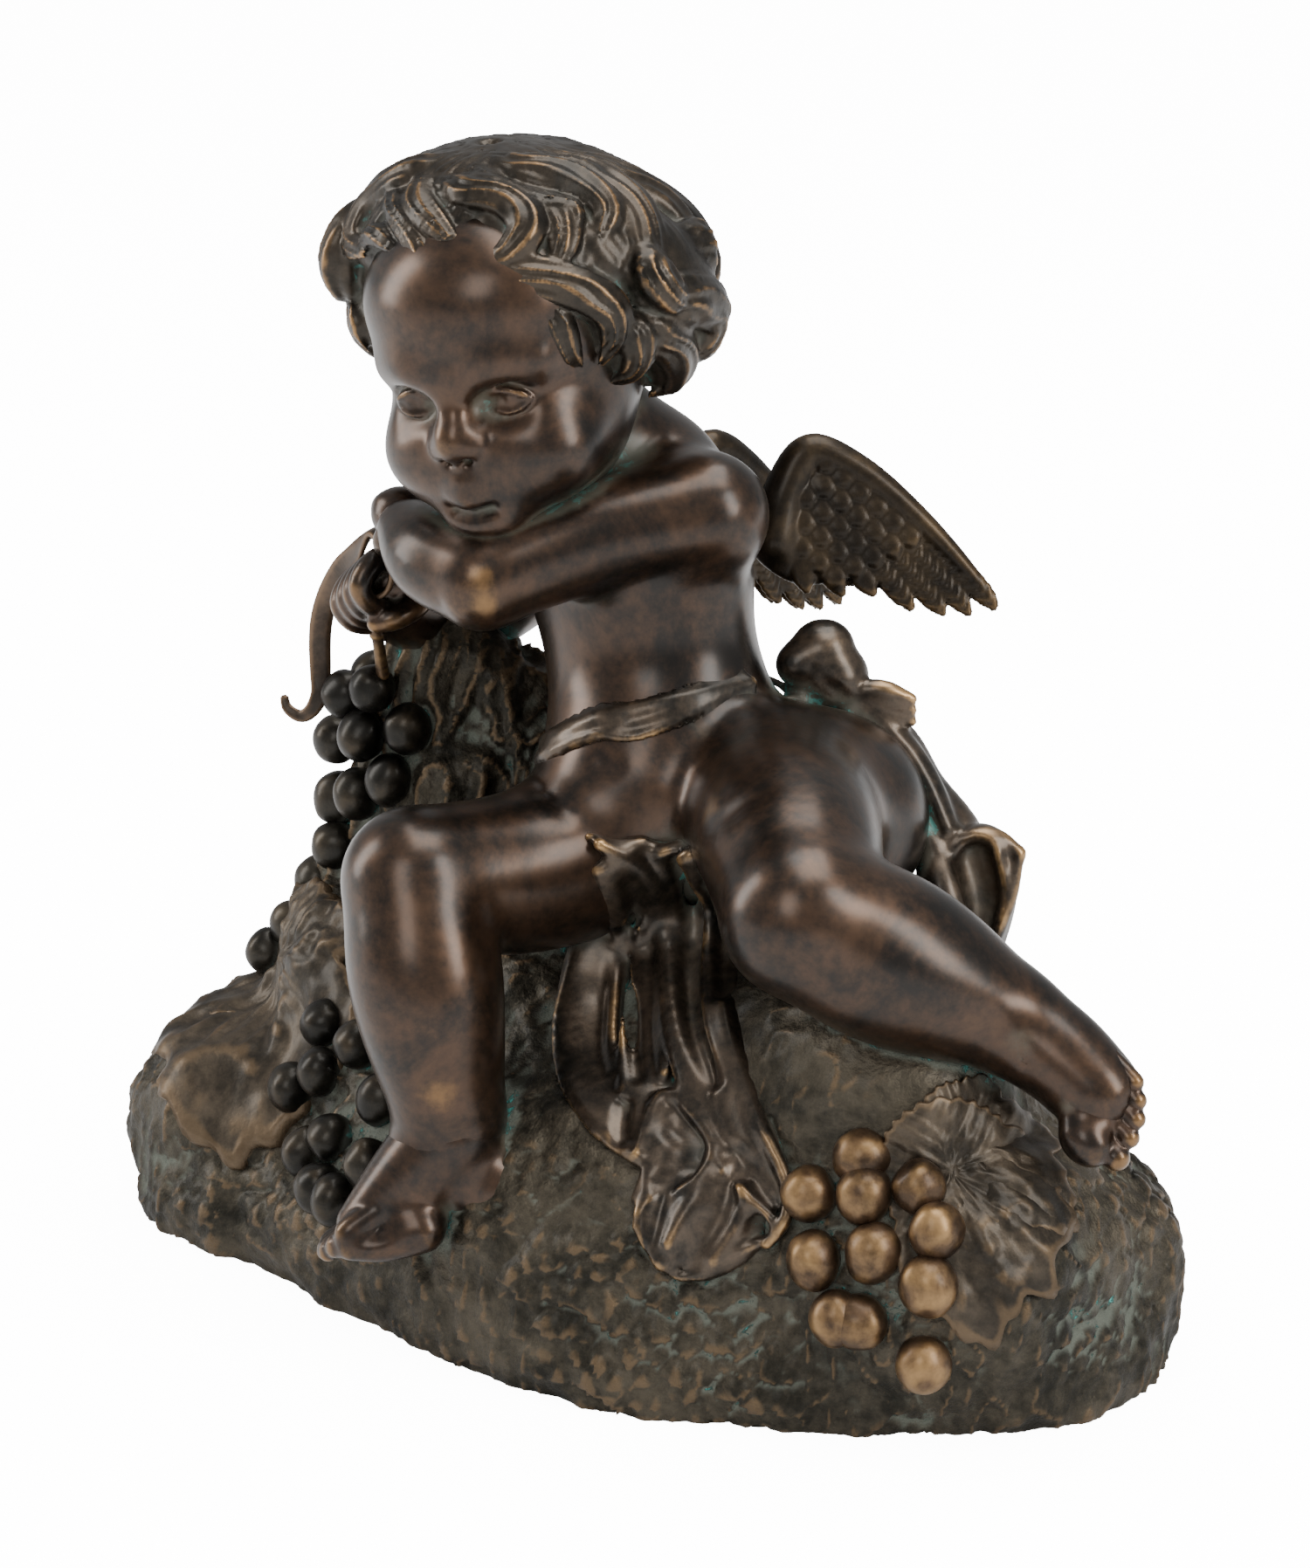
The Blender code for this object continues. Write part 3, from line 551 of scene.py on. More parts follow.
# The arms: the left one crosses under the chin, the right forearm comes forward to the fist.
flesh.roll([(8, 20, 303), (-18, -16, 296), (-43, -48, 282)], [23.5, 20.5, 18.5], blend=8)
flesh.roll([(-43, -48, 282), (-68, -48, 286), (-88, -41, 292)], [18.5, 17.5, 12.5], blend=4)
flesh.roll([(-78, 42, 290), (-112, 45, 252), (-133, 38, 232)], [24.5, 20.5, 17.5], blend=8)
flesh.roll([(-133, 38, 232), (-130, 4, 243), (-124, -20, 254)], [17.5, 16.5, 13], blend=4)
# Creases and dimples.
for spots, radii, blend in (
        ([(24, 4, 290), (10, -8, 284), (-6, -20, 279)], [1.2, 1.8, 1], 5),
        ([(0, -30, 216), (4, -30, 215)], [2.2, 1.6], 5),
        ([(-36, -30, 206), (-18, -42, 203), (-2, -46, 198)], [1, 1.4, 1], 4),
        ([(175, -17, 154), (181, -13, 145), (184, -9, 137)], [0.8, 1.3, 0.8], 3),
        ([(-30, -119, 91), (-14, -124, 90), (2, -118, 93), (10, -104, 95)], [0.8, 1.4, 1.4, 1], 4),
        ([(60, -46, 204), (76, -47, 217), (86, -36, 228)], [1, 1.6, 0.8], 6),
        ([(-52, -60, 270), (-48, -66, 276), (-50, -70, 286)], [0.6, 1.0, 0.6], 4)):
    flesh.roll(spots, radii, blend=blend, cut=True)


def smooth_object(name, clay, rounds):
    points, faces = clay.skin()
    return new_object(name, relaxed(points, edges_of(faces), rounds), faces)


body = smooth_object("body", flesh, 9)
body_skin = BVHTree.FromObject(body, bpy.context.evaluated_depsgraph_get())
finish_piece(body, skin_bronze)


# The hands and feet, modelled apart at a finer scale and joined to the limbs at the fat folds of
# the wrists and ankles. The right fist is closed round the bow, the left hand lies over the wrist.
hands = Clay((-146, -60, 240), (-80, 4, 314), 0.9)
hands.ball((-116, -21.5, 263), (13.5, 14.5, 12), blend=2)
for i in range(4):
    shift = np.array((-6, 2.5, -3.8)) * i
    knuckles = np.array([(-106, -24, 276), (-109, -38, 275), (-110, -45, 267), (-109, -41, 259),
                         (-108, -33, 255)])
    hands.roll(knuckles + shift, [4.8, 5, 4.8, 4.4, 3.8], blend=1.2)
hands.roll([(-106, -14, 260), (-102, -24, 256), (-103, -34, 253), (-108, -39, 251)], [5.5, 5.2, 4.8, 3.8],
           blend=2)
hands.ball((-96, -37, 296), (11.5, 11, 10.5), blend=3)
for i in range(4):
    shift = np.array((0.5, 5.5, 0.5)) * i
    knuckles = np.array([(-99, -41, 300), (-104, -38, 297), (-105, -36, 290), (-101, -34, 283)])
    hands.roll(knuckles + shift, [4.6, 4.8, 4.4, 3.6], blend=1.4)
hands.roll([(-91, -47, 293), (-95, -47, 288), (-99, -44, 284)], [5, 4.4, 3.4], blend=2)
finish_piece(smooth_object("hands", hands, 2), skin_bronze)

feet_left = Clay((176, -34, 88), (238, 46, 156), 0.95)
feet_left.roll([(186, 8, 136), (198, 9, 127), (204, 8, 120)], [17.5, 15.5, 11.5], blend=4)
feet_left.ball((206, -2, 112), (11, 8.5, 9), (0, 35, 0), blend=5)
for x, y, z, size in ((216.5, 2.5, 106.5, 5), (218.5, 7, 113.3, 4), (219, 10, 119.6, 3.8),
                      (218, 12, 125.8, 3.6), (216, 13, 132, 3.4)):
    feet_left.roll([(x - 11, y, z + 7), (x - 4, y, z + 3), (x, y, z)], [size, size * 0.94, size], blend=0.9)
finish_piece(smooth_object("left_foot", feet_left, 2), skin_bronze)

feet_right = Clay((-56, -152, 32), (28, -66, 96), 0.95)
feet_right.ball((0, -91, 66), (18, 19, 19), blend=2)
feet_right.roll([(-10, -102, 86), (-20, -113, 70), (-32, -128, 52)], [19, 16.5, 10], blend=7)
feet_right.ball((-15, -118, 56), (12, 13, 12), blend=5)
for x, y, z, size in ((-28, -138, 54, 5.4), (-33, -139, 48, 4.4), (-38, -138, 44.5, 4.2),
                      (-42, -135.5, 43, 4), (-45.5, -131.5, 43, 3.6)):
    feet_right.roll([(x + 5, y + 9, z + 6), (x, y, z), (x - 1, y - 1.5, z - 2.4)],
                    [size, size, size * 0.85], blend=1)
feet_right.roll([(-18, -128, 50), (-6, -112, 46), (4, -98, 48)], [1, 2, 1.2], blend=6, cut=True)
feet_right.roll([(-8, -121, 54), (-17.5, -131, 48.5), (-27, -139, 47.5)], [8.5, 6.2, 5], blend=4)
finish_piece(smooth_object("right_foot", feet_right, 2), skin_bronze)


# The head, a calm child's face of plain proportions: half the height down to the eyes, one eye's
# width between them. It is cast with the body and leans on the folded arm.
HEAD = np.eye(4)
HEAD[:3, :3] = turning((9, -8, 13))
HEAD[:3, 3] = (-58, -12, 366)
face = Clay((-122, -84, 292), (6, 66, 432), 1.04)


def on_face(shape, *rows, **more):
    getattr(face, shape)(*rows, where=HEAD, **more)


on_face("ball", (0, 6, 8), (51, 59, 51))
on_face("ball", (0, -12, -28), (43, 43, 36), blend=16)
on_face("ball", (0, -22, 26), (41, 31, 27), blend=18)
on_face("ball", (0, -40.5, -38), (23, 15.5, 16), blend=14)
on_face("ball", (0, -45, -53.5), (15, 11, 9.5), blend=12)
on_face("roll", [(0, -47, 0), (0, -50.5, -8), (0, -55, -16)], [4.4, 5, 5.6], blend=10)
on_face("ball", (0, -57, -21), (6.6, 6.4, 5.8), blend=7)
on_face("roll", [(-8, -54, -47.5), (0, -56.5, -48.5), (8, -54, -47.5)], [0.5, 1.0, 0.5], blend=7, cut=True)
EYE = 11.0
for side in (-1, 1):
    on_face("ball", (23 * side, -33, -31), (20, 19, 18), blend=11)
    on_face("ball", (19.5 * side, -51, -8), (11.5, 6, 6.5), blend=8, cut=True)
    brow = [(7 * side, -49.5, 3), (18 * side, -49, 6.5), (31 * side, -40, 4)]
    on_face("roll", brow, [2.4, 3, 2.4], blend=13)
    eye = np.array((19.5 * side, -37.2, -8.5))
    on_face("ball", eye, (EYE, EYE, EYE), blend=1)
    for tilt, radius, spread in ((25, 1.5, 53), (-19, 1.1, 51)):
        lid = []
        for step in np.linspace(-1, 1, 9):
            across = math.radians(step * spread)
            rise = math.radians(tilt * (1 - step * step) - 2)
            way = (math.sin(across) * math.cos(rise), -math.cos(across) * math.cos(rise), math.sin(rise))
            lid.append(eye + np.array(way) * (EYE + 0.5))
        on_face("roll", lid, [0.7] + [radius] * 7 + [0.7], blend=0.8, steps=2)
        if tilt > 0:
            fold = [spot + (0, 0.6, 3.2) for spot in lid]
            on_face("roll", fold, [0.3] + [0.7] * 7 + [0.3], blend=2, steps=2, cut=True)
    look = np.array((-0.06 * side, -1, -0.03))
    on_face("ball", eye + look * (EYE + 0.9), (2.2, 1.9, 2.2), blend=1.2, cut=True)
    on_face("ball", (6.6 * side, -54.6, -22.8), (4.3, 4.8, 4), blend=4)
    on_face("ball", (3.9 * side, -57.2, -27.4), (1.6, 2.0, 1.4), blend=3.2, cut=True)
    upper_lip = [(10.5 * side, -52, -38.4), (5.5 * side, -55.6, -36.9), (2.0 * side, -57, -36),
                 (0, -56.8, -36.5)]
    on_face("roll", upper_lip, [0.9, 1.9, 2.1, 1.9], blend=4)
    lower_lip = [(8.8 * side, -52.8, -40), (4.5 * side, -55.6, -41.4), (0, -56.5, -41.8)]
    on_face("roll", lower_lip, [1.1, 2.8, 3.2], blend=4)
finish_piece(smooth_object("head", face, 3), skin_bronze)


# The hair: thick locks brushed from the crown, curling over the brow, the cheek and the nape. It is
# cast with the head, chased into strands, and rubbed to bright bronze along its curls.
hair_bronze = bronze("hair_bronze", (0.014, 0.012, 0.009), (0.054, 0.041, 0.029), (0.42, 0.24, 0.10),
                     (0.042, 0.043, 0.034), 0.4, 0.35, 0.9, 0.7, 0.5, 0.5, 0.0003)
SCALP_MIDDLE = np.array((-2.5, 13.5, 15.0))
SCALP_HALF = np.array((61.5, 59.0, 52.5))
FRONT_CROWN = np.array((-0.38, -0.32, 0.87))
BACK_CROWN = np.array((0.5, 0.5, 0.707))


def scalp(azimuth, polar, lift):
    """A place over the scalp and the way out there: azimuth from the face to the left ear, polar
    from the crown, in degrees."""
    a, p = math.radians(azimuth), math.radians(polar)
    way = np.array((math.sin(p) * math.sin(a), -math.sin(p) * math.cos(a), math.cos(p)))
    normal = way / SCALP_HALF
    normal = normal / np.linalg.norm(normal)
    lift += 2.5 * max(way @ FRONT_CROWN, 0) ** 6 - 7 * max(way @ BACK_CROWN, 0) ** 6
    return SCALP_MIDDLE + way * SCALP_HALF + normal * lift, normal


def lock(clay, turns, width, height, strands=3, groove=1.3):
    """A lock of hair through places on the scalp, thick in the middle and pointed at its tip, on a
    fuller bed that leaves no gap under it."""
    shares = [0.5] + [1] * (len(turns) - 3) + [0.8, 0.25]
    spots, normals = zip(*(scalp(azimuth, polar, lift - height) for azimuth, polar, lift in turns))
    bed_widths, bed_heights = ([size * s for s in shares] for size in (width * 1.1, max(height, 5)))
    clay.strap(spots, normals, bed_widths, bed_heights, blend=2, where=HEAD)
    spots, normals = zip(*(scalp(*turn) for turn in turns))
    clay.strap(spots, normals, [width * s for s in shares], [height * s for s in shares], blend=1.2,
               where=HEAD, steps=6, strands=strands, groove=groove)


curls = Clay((-134, -86, 330), (30, 40, 448), 1.14)
curls.ball((-4, 12, 15), (58, 53, 52.5), where=HEAD)
curls.ball((0, -48, -46), (50, 50, 30), blend=3, where=HEAD, cut=True)
# Broad flat locks combed out from the crown, under the curls.
for azimuth, hem in ((-112, 96), (-98, 88), (-84, 76), (-70, 66), (-54, 58), (-38, 50), (-22, 46),
                     (-6, 46), (10, 50), (26, 56), (40, 64), (54, 76), (68, 88), (84, 96), (100, 98),
                     (116, 100)):
    waves = [6 * math.sin(azimuth * 0.7 + k) for k in range(5)]
    turns = [(azimuth + waves[k], 6 + (hem - 6) * k / 4, 1.5) for k in range(5)]
    lock(curls, turns, 10 if hem > 60 else 8, 3.4, 3, 1.2)
# The full hair behind the ears, under the loose curls.
for azimuth, polar, lift, size in (
        (104, 100, -8, 21), (118, 112, -8, 22), (92, 84, -9, 18), (-98, 88, -12, 20), (-92, 72, -12, 20),
        (84, 66, -14, 18), (112, 124, -12, 21), (10, 48, -13, 14), (34, 52, -13, 14), (-24, 50, -13, 14),
        (62, 70, -13, 14)):
    curls.ball(scalp(azimuth, polar, lift)[0], (size, size, size), blend=10, where=HEAD)
for turns, width, height in (
        ([(12, 66, 2), (30, 68, 4), (46, 76, 5), (58, 88, 6), (59, 100, 5), (53, 110, 4)], 8, 5),
        ([(-20, 28, 1), (12, 33, 4), (34, 41, 6), (39, 53, 7), (29, 62, 6), (20, 57, 4)], 7.5, 5.5),
        ([(10, 12, 1), (55, 28, 4), (72, 42, 6), (74, 56, 6), (62, 66, 4)], 9, 5.5),
        ([(-75, 38, 2), (-30, 41, 4), (-6, 55, 4), (3, 68, 2), (8, 79, -1)], 5.5, 4),
        ([(-20, 12, 1), (-50, 28, 4), (-72, 46, 5), (-64, 60, 5), (-42, 60, 3)], 8.5, 5.5),
        ([(-95, 22, 2), (-88, 45, 5), (-78, 62, 6), (-66, 76, 3)], 9, 5.5),
        ([(-90, 50, 5), (-76, 58, 9), (-70, 70, 11), (-74, 82, 8), (-84, 84, 4)], 7, 6),
        ([(92, 10, 1), (95, 36, 3), (91, 58, 5), (80, 76, 5), (70, 92, 3)], 10, 5.5),
        ([(107, 14, 1), (118, 44, 4), (122, 70, 6), (116, 92, 7), (102, 108, 5)], 11, 6),
        ([(72, 88, 4), (88, 96, 9), (106, 106, 13), (106, 118, 13), (94, 120, 9)], 10, 7),
        ([(66, 98, 4), (78, 106, 7), (92, 120, 9), (100, 132, 10), (92, 139, 7)], 9, 6),
        ([(100, 78, 5), (114, 86, 10), (124, 98, 13), (118, 110, 13), (108, 112, 10)], 10, 7),
        ([(84, 74, 5), (76, 82, 9), (80, 92, 11), (90, 94, 9)], 9, 6.5),
        ([(62, 92, 3), (68, 104, 6), (66, 116, 6), (58, 122, 3)], 8, 5.5),
        ([(44, 34, 1), (54, 49, 4), (50, 62, 5), (42, 71, 4)], 7.5, 4.5),
        ([(30, 76, 1), (40, 88, 3), (43, 102, 3), (47, 113, 2)], 6.5, 4),
        ([(-60, 60, 2), (-35, 52, 4), (-12, 60, 3)], 6, 4.5),
        ([(0, 14, 2), (24, 30, 4), (48, 44, 5), (60, 52, 6), (56, 60, 5)], 5, 4),
        ([(-40, 20, 2), (-18, 36, 5), (2, 48, 6), (14, 58, 5)], 6, 4),
        ([(-100, 66, 4), (-88, 78, 6), (-80, 92, 6), (-86, 104, 4)], 7, 5),
        ([(-70, 84, 3), (-64, 94, 3), (-66, 106, 3)], 6, 4)):
    lock(curls, turns, width, height)
finish_piece(smooth_object("front_hair", curls, 1), hair_bronze)

nape = Clay((-136, -60, 316), (24, 78, 450), 1.45)
nape.ball((-4, 13, 13), (57.5, 55, 53), where=HEAD)
nape.ball((0, -62, -34), (60, 70, 66), blend=3, where=HEAD, cut=True)
nape.ball((0, 0, -62), (50, 44, 30), blend=3, where=HEAD, cut=True)
lock(nape, [(130, 18, 1), (138, 50, 4), (134, 78, 8), (124, 96, 11), (112, 108, 9)], 11, 6.5)
for azimuth in range(146, 286, 20):
    turns = [(azimuth - 10, 14, 1), (azimuth + 8, 42, 4), (azimuth - 6, 68, 6), (azimuth + 6, 90, 4)]
    lock(nape, turns, 11, 6, 5)
for azimuth in range(136, 286, 19):
    turns = [(azimuth - 4, 78, 3), (azimuth + 7, 98, 7), (azimuth - 5, 116, 8), (azimuth + 10, 130, 5)]
    lock(nape, turns, 10.5, 6.5)
for azimuth in range(20, 380, 30):
    lock(nape, [(azimuth, 5, 2.5), (azimuth + 12, 22, 2.5), (azimuth + 6, 42, 1.5)], 11, 3.4, 4, 1)
finish_piece(smooth_object("back_hair", nape, 1), hair_bronze)


# The wings, small and feathered on both sides, cast with the shoulders. The short feathers lie like
# scales in rows from the root, and the long ones leave the front edge towards the tip.
wing_bronze = bronze("wing_bronze", (0.012, 0.009, 0.006), (0.042, 0.029, 0.016), (0.26, 0.16, 0.07),
                     (0.026, 0.026, 0.019), 0.44, 0.25, 0.28, 0.7, 0.2, 0.6, 0.0003)


def wing(name, wrist, tip, heel, low, high):
    """One wing in its own plane: out from the wrist to the tip, down to the heel."""
    wrist, tip, heel = (np.array(spot, float) for spot in (wrist, tip, heel))
    out = (tip - wrist) / np.linalg.norm(tip - wrist)
    down = heel - wrist - out * ((heel - wrist) @ out)
    down = down / np.linalg.norm(down)
    plane = np.eye(4)
    plane[:3, :3] = np.column_stack([out, down, np.cross(out, down)])
    plane[:3, 3] = wrist
    clay = Clay(low, high, 0.85)
    clay.roll([(12, 38, 0), (4, 22, 0), (1, 4, 0), (20, -3, 0), (46, -4, 0), (72, -2, 0), (92, 1, 0)],
              [9, 8, 7, 5.8, 5, 3.8, 2], blend=2, where=plane)
    clay.ball((26, 18, 0), (28, 22, 2.2), blend=4, where=plane)
    clay.ball((20, 34, 0), (16, 14, 4), blend=6, where=plane)
    feathers = [((38, 1), (64, 0), (86, 1), (94, 2.5)), ((36, 6), (62, 7), (80, 9), (88, 10.5)),
                ((34, 11), (58, 13), (73, 15.5), (80.5, 17)), ((30, 16), (50, 19.5), (63, 22), (70, 23.5)),
                ((26, 20), (42, 25), (50, 27.5), (55, 29)), ((22, 26), (34, 32), (41, 35), (46, 37)),
                ((18, 31), (26, 38), (31, 42), (35, 45))]
    for face_side in (-1, 1):
        up = (0, 0, face_side)
        for i, path in enumerate(feathers):
            spots = [(u, v, face_side * (1.0 + 0.3 * i)) for u, v in path]
            clay.strap(spots, up, [4.4, 5.2, 4.6, 1.8], [1.8, 2.0, 1.8, 1.2], blend=0.4, where=plane,
                       steps=7, strands=2.2 if i < 4 else 0, groove=0.8, slant=1.5, barbs=True)
            if i < 4:
                clay.roll(spots, [0.7] * 4, blend=0.6, where=plane)
        for row in range(5):
            for i in range(6 - row // 2):
                u = 4 + 8.6 * i + 4.3 * (row % 2) + 1.5 * row
                v = 2.0 + 7.6 * row
                if u > 50 - 2.2 * row:
                    continue
                rise = face_side * (4.2 - 0.25 * i)
                spots = [(u - 6, v - 2, rise * 0.2), (u, v, rise * 0.75), (u + 5, v + 1.6, rise),
                         (u + 7.5, v + 2.4, rise * 0.95)]
                clay.strap(spots, up, [3.6, 5.0, 4.4, 2.0], [1.6, 1.9, 1.8, 1.2], blend=0.3,
                           where=plane, steps=4)
    finish_piece(smooth_object(name, clay, 1), wing_bronze)


wing("left_wing", (5, 87, 317.5), (68, 125, 255.5), (14, 76, 261.5), (-22, 56, 241), (80, 140, 330))
wing("right_wing", (-48, 90, 310), (-28, 148, 234), (-44, 80, 256), (-72, 58, 224), (-10, 162, 324))


# The sash and its knot on the left hip, and the cloth that falls between the legs and behind the
# hip. It is one length of thin cloth, cast with the figure and pulled into folds.
cloth_bronze = bronze("cloth_bronze", (0.016, 0.014, 0.011), (0.098, 0.071, 0.049), (0.46, 0.28, 0.12),
                      (0.060, 0.060, 0.046), 0.36, 0.45, 0.85, 0.6, 0.7, 0.5, 0.00025)


def laid(skin, spots, lift):
    """The spots drawn to a skin and lifted off it, and the ways out there."""
    found = []
    for spot in spots:
        place, normal, _, _ = skin.find_nearest(Vector(spot) * MM)
        found.append((np.array(place) / MM + np.array(normal) * lift, np.array(normal)))
    return zip(*found)


sash = Clay((-92, -62, 104), (132, 124, 262), 1.3)
WAIST = [(26, 24, 241), (20, 0, 240), (8, -16, 237), (-8, -24, 232), (-34, -30, 222), (-58, -12, 210),
         (-70, 20, 206), (-58, 60, 212), (-24, 76, 224), (14, 72, 236), (32, 52, 241)]
for drop, width, height, lift in (
        (5, 8, 1.4, 0), (0, 1.3, 1.4, 0.8), (2.5, 1.1, 1.2, 1.1), (5.5, 1.3, 1.3, 1.0),
        (8.5, 1.2, 1.3, 0.9), (11, 1.5, 1.4, 0.6)):
    rows = [(x, y, z - drop * (1 + 0.3 * math.sin(1.7 * i + drop)) * min(1, 0.3 + 0.35 * min(i, 10 - i)))
            for i, (x, y, z) in enumerate(WAIST)]
    spots, normals = laid(body_skin, rows, lift)
    sash.strap(spots, normals, width, height, blend=2)
# The knot: two fat loops and a short end.
sash.ball((32, 60, 247), (12, 12, 10), (20, 10, 0), blend=3)
sash.ball((36, 62, 236), (13.5, 13, 13), (10, 20, 0), blend=3)
sash.roll([(24, 50, 247), (38, 47, 241), (46, 54, 232)], [1.6, 2, 1.4], blend=3, cut=True)
sash.roll([(30, 46, 240), (36, 46, 232), (40, 50, 226)], [1.2, 2, 1.4], blend=3, cut=True)
for i, lift in enumerate((-4.5, 0, 4.5)):
    sash.strap([(42, 60, 229 + lift * 0.4), (54, 68, 228 + lift), (63, 75, 225 + lift)], (0.6, -0.7, 0.3),
               [3.5, 4.2, 2.2], [4, 4.6, 2.8], blend=1.6)
sash.ball((27, 52, 241), (9, 9, 9), blend=4)
# The fan of cloth laid over the hip and down behind it.
sash.roll([(44, 66, 215), (60, 76, 196), (75, 88, 165), (78, 84, 128)], [9, 11, 15, 16.5], blend=6)
for path, width in (([(50, 64, 226), (62, 71, 214), (71, 74.5, 202), (82, 76, 181)], [4, 5, 5.5, 5]),
                    ([(48, 62, 225), (62, 70.5, 211), (73, 74.5, 198), (82, 75, 182)], [3.5, 4.5, 5.5, 5]),
                    ([(46, 60, 223), (58, 65, 207), (70, 68, 190), (79, 70, 177)], [3.5, 4.5, 5, 5]),
                    ([(50, 68, 226), (60, 78, 212), (67, 85, 194), (78, 97, 166), (80, 98, 140)],
                     [4, 6, 7, 7, 7]),
                    ([(46, 72, 224), (53, 84, 206), (58, 93, 184), (65, 101, 158), (66, 100, 138)],
                     [4, 6, 7, 7, 7])):
    sash.strap(path, (0.7, 0.2, 0.6), width, 3.4, blend=2.2)
sash.roll([(49, 62, 226), (60, 67.5, 212), (69, 71, 199), (80, 73, 183)], [0.8, 1.2, 1.2, 1], blend=2)
sash.roll([(47, 59, 223), (59, 63, 208), (71, 66, 190)], [0.8, 1.2, 1], blend=2)
# Its end is rolled and opens like a trumpet beside the thigh.
sash.roll([(78, 72, 172), (88, 66, 156), (94, 66, 134)], [8, 9, 10], blend=4)
sash.roll([(91, 84, 171), (95, 84, 155), (91, 79, 130)], [12, 11, 11], blend=4)
sash.roll([(94.5, 75.5, 173), (99, 76, 158), (101, 73, 138)], [7, 6.5, 5], blend=4, cut=True)
sash.roll([(82.6, 68, 166), (86.5, 75, 176), (92, 81, 179.5), (99, 87, 178), (104.5, 90, 173)],
          [2.2, 2.6, 3, 3, 2.4], blend=2.5)
sash.roll([(104.5, 90, 173), (105.5, 86, 160), (104, 80.5, 148), (101, 75, 132)], [2.4, 2.2, 2.4, 2.6],
          blend=3)
finish_piece(smooth_object("sash", sash, 2), cloth_bronze)

drape = Clay((-36, -104, 38), (138, 12, 216), 1.15)
TO_VIEW = np.array((0.55, -0.7, 0.45))


def over(spots):
    """A path over the lap and the rock, whichever lies further out."""
    rows = []
    for spot in smooth_path(spots, 3):
        found = []
        for skin in (rock_skin, body_skin):
            place, _, _, gap = skin.find_nearest(Vector(spot) * MM)
            if gap < 0.010:
                found.append(np.array(place) / MM)
        rows.append(max(found, key=lambda p: p @ TO_VIEW) if found else spot)
    rows = np.array(rows)
    for _ in range(2):
        rows[1:-1] = (rows[:-2] + 2 * rows[1:-1] + rows[2:]) / 4
    return rows


def spread_along(rows, values):
    return np.interp(np.linspace(0, 1, len(rows)), np.linspace(0, 1, len(values)), values)


def sheet(spots, widths, lift=1.8, height=3.4, blend=4, cut=False):
    rows = over(spots)
    drape.strap(rows + TO_VIEW * lift, TO_VIEW, spread_along(rows, widths), height, blend=blend, cut=cut,
                steps=2)


def crest(spots, radii, lift=4.6, blend=4, cut=False):
    rows = over(spots)
    drape.roll(rows + TO_VIEW * lift, spread_along(rows, radii), blend=blend, cut=cut, steps=2)


# The cloth itself, from the lap to the rock.
sheet([(4, -36, 178), (3, -24, 152), (0, -28, 138), (6, -46, 121), (24, -62, 107), (44, -71, 96),
       (60, -77, 87)],
      [7, 9, 12, 14, 14, 11, 4])
sheet([(14, -32, 184), (17, -18, 158), (20, -18, 138), (38, -42, 120), (52, -58, 106), (60, -70, 94)],
      [9, 11, 13, 14, 13, 9])
sheet([(30, -20, 186), (29, -10, 158), (34, -14, 140), (58, -36, 124), (80, -50, 108), (96, -58, 93)],
      [10, 11, 13, 14, 14, 12])
sheet([(38, -22, 186), (39, -10, 162), (46, -16, 142), (68, -32, 130), (88, -47, 112), (104, -56, 96),
       (112, -64, 80)],
      [6, 7, 9, 10, 10, 9, 7])
sheet([(92, -62, 92), (98, -70, 80), (98, -76, 68), (92, -81, 56)], [12, 16, 16, 8])
sheet([(76, -74, 82), (80, -80, 70), (84, -84, 58)], [8, 12, 8])
sheet([(64, -60, 102), (72, -67, 93), (73, -75, 85), (67, -83, 74)], [9, 12, 10, 4], 1.4)
# Its top edge, its hems and the ridges of its folds.
crest([(4, -42, 190), (12, -34, 187), (22, -24, 185), (30, -18, 184), (35, -18, 184)],
      [1.8, 2.4, 2.8, 2.4, 1.8], 0.4)
crest([(8, -40, 187), (18, -28, 177), (17, -14, 158), (21, -16, 139), (41, -41, 123), (53, -54, 112)],
      [2.4, 3.2, 3.2, 3, 3, 2.4])
crest([(2, -30, 168), (-2, -20, 141), (12, -37, 125), (23, -50, 114), (33, -58, 107)],
      [1.6, 2.4, 2.8, 2.4, 1.4])
crest([(38, -22, 185), (36, -10, 164), (27, 0, 152), (43, -13, 143), (65, -30, 132), (88, -44, 113),
       (103, -50, 100),
       (117, -59, 87), (121, -65, 76), (115, -69, 67)], [1.6, 2, 2, 2, 2.2, 2.4, 2.6, 2.6, 2.6, 2.2])
crest([(-10, -28, 140), (-13, -33, 132), (-8, -47, 119), (9, -62, 106), (31, -73, 97), (52, -77, 90),
       (59, -78, 87)],
      [1.2, 1.5, 1.6, 1.6, 1.6, 1.6, 1.2], 2.4, 3)
crest([(60, -77, 88), (59, -71, 95), (56, -61, 104), (62, -57, 106), (70, -58, 104), (80, -61, 98),
       (86, -64, 92),
       (85, -72, 85), (76, -79, 78), (68, -84, 70)], [1.4, 2.2, 3, 3, 2.4, 2.4, 2.6, 2.6, 2, 1.2], 5.4, 2.5)
crest([(86, -65, 92), (93, -67, 86), (103, -67, 82), (113, -66, 78), (117, -67, 73)],
      [2, 2.6, 2.6, 2.2, 1.6], 5, 2.5)
crest([(69, -85, 66), (76, -85, 59), (83, -84, 53), (92, -82, 50), (98, -79, 56), (106, -74, 63),
       (115, -69, 69)],
      [1.4, 1.6, 1.8, 1.8, 1.8, 1.8, 1.6], 2.6, 3)
for spots in ([(88, -66, 90), (86, -74, 78), (82, -82, 64)],
              [(104, -65, 86), (105, -72, 74), (99, -79, 60)]):
    crest(spots, [1.2, 2.6, 1.4], 4.2, 5)
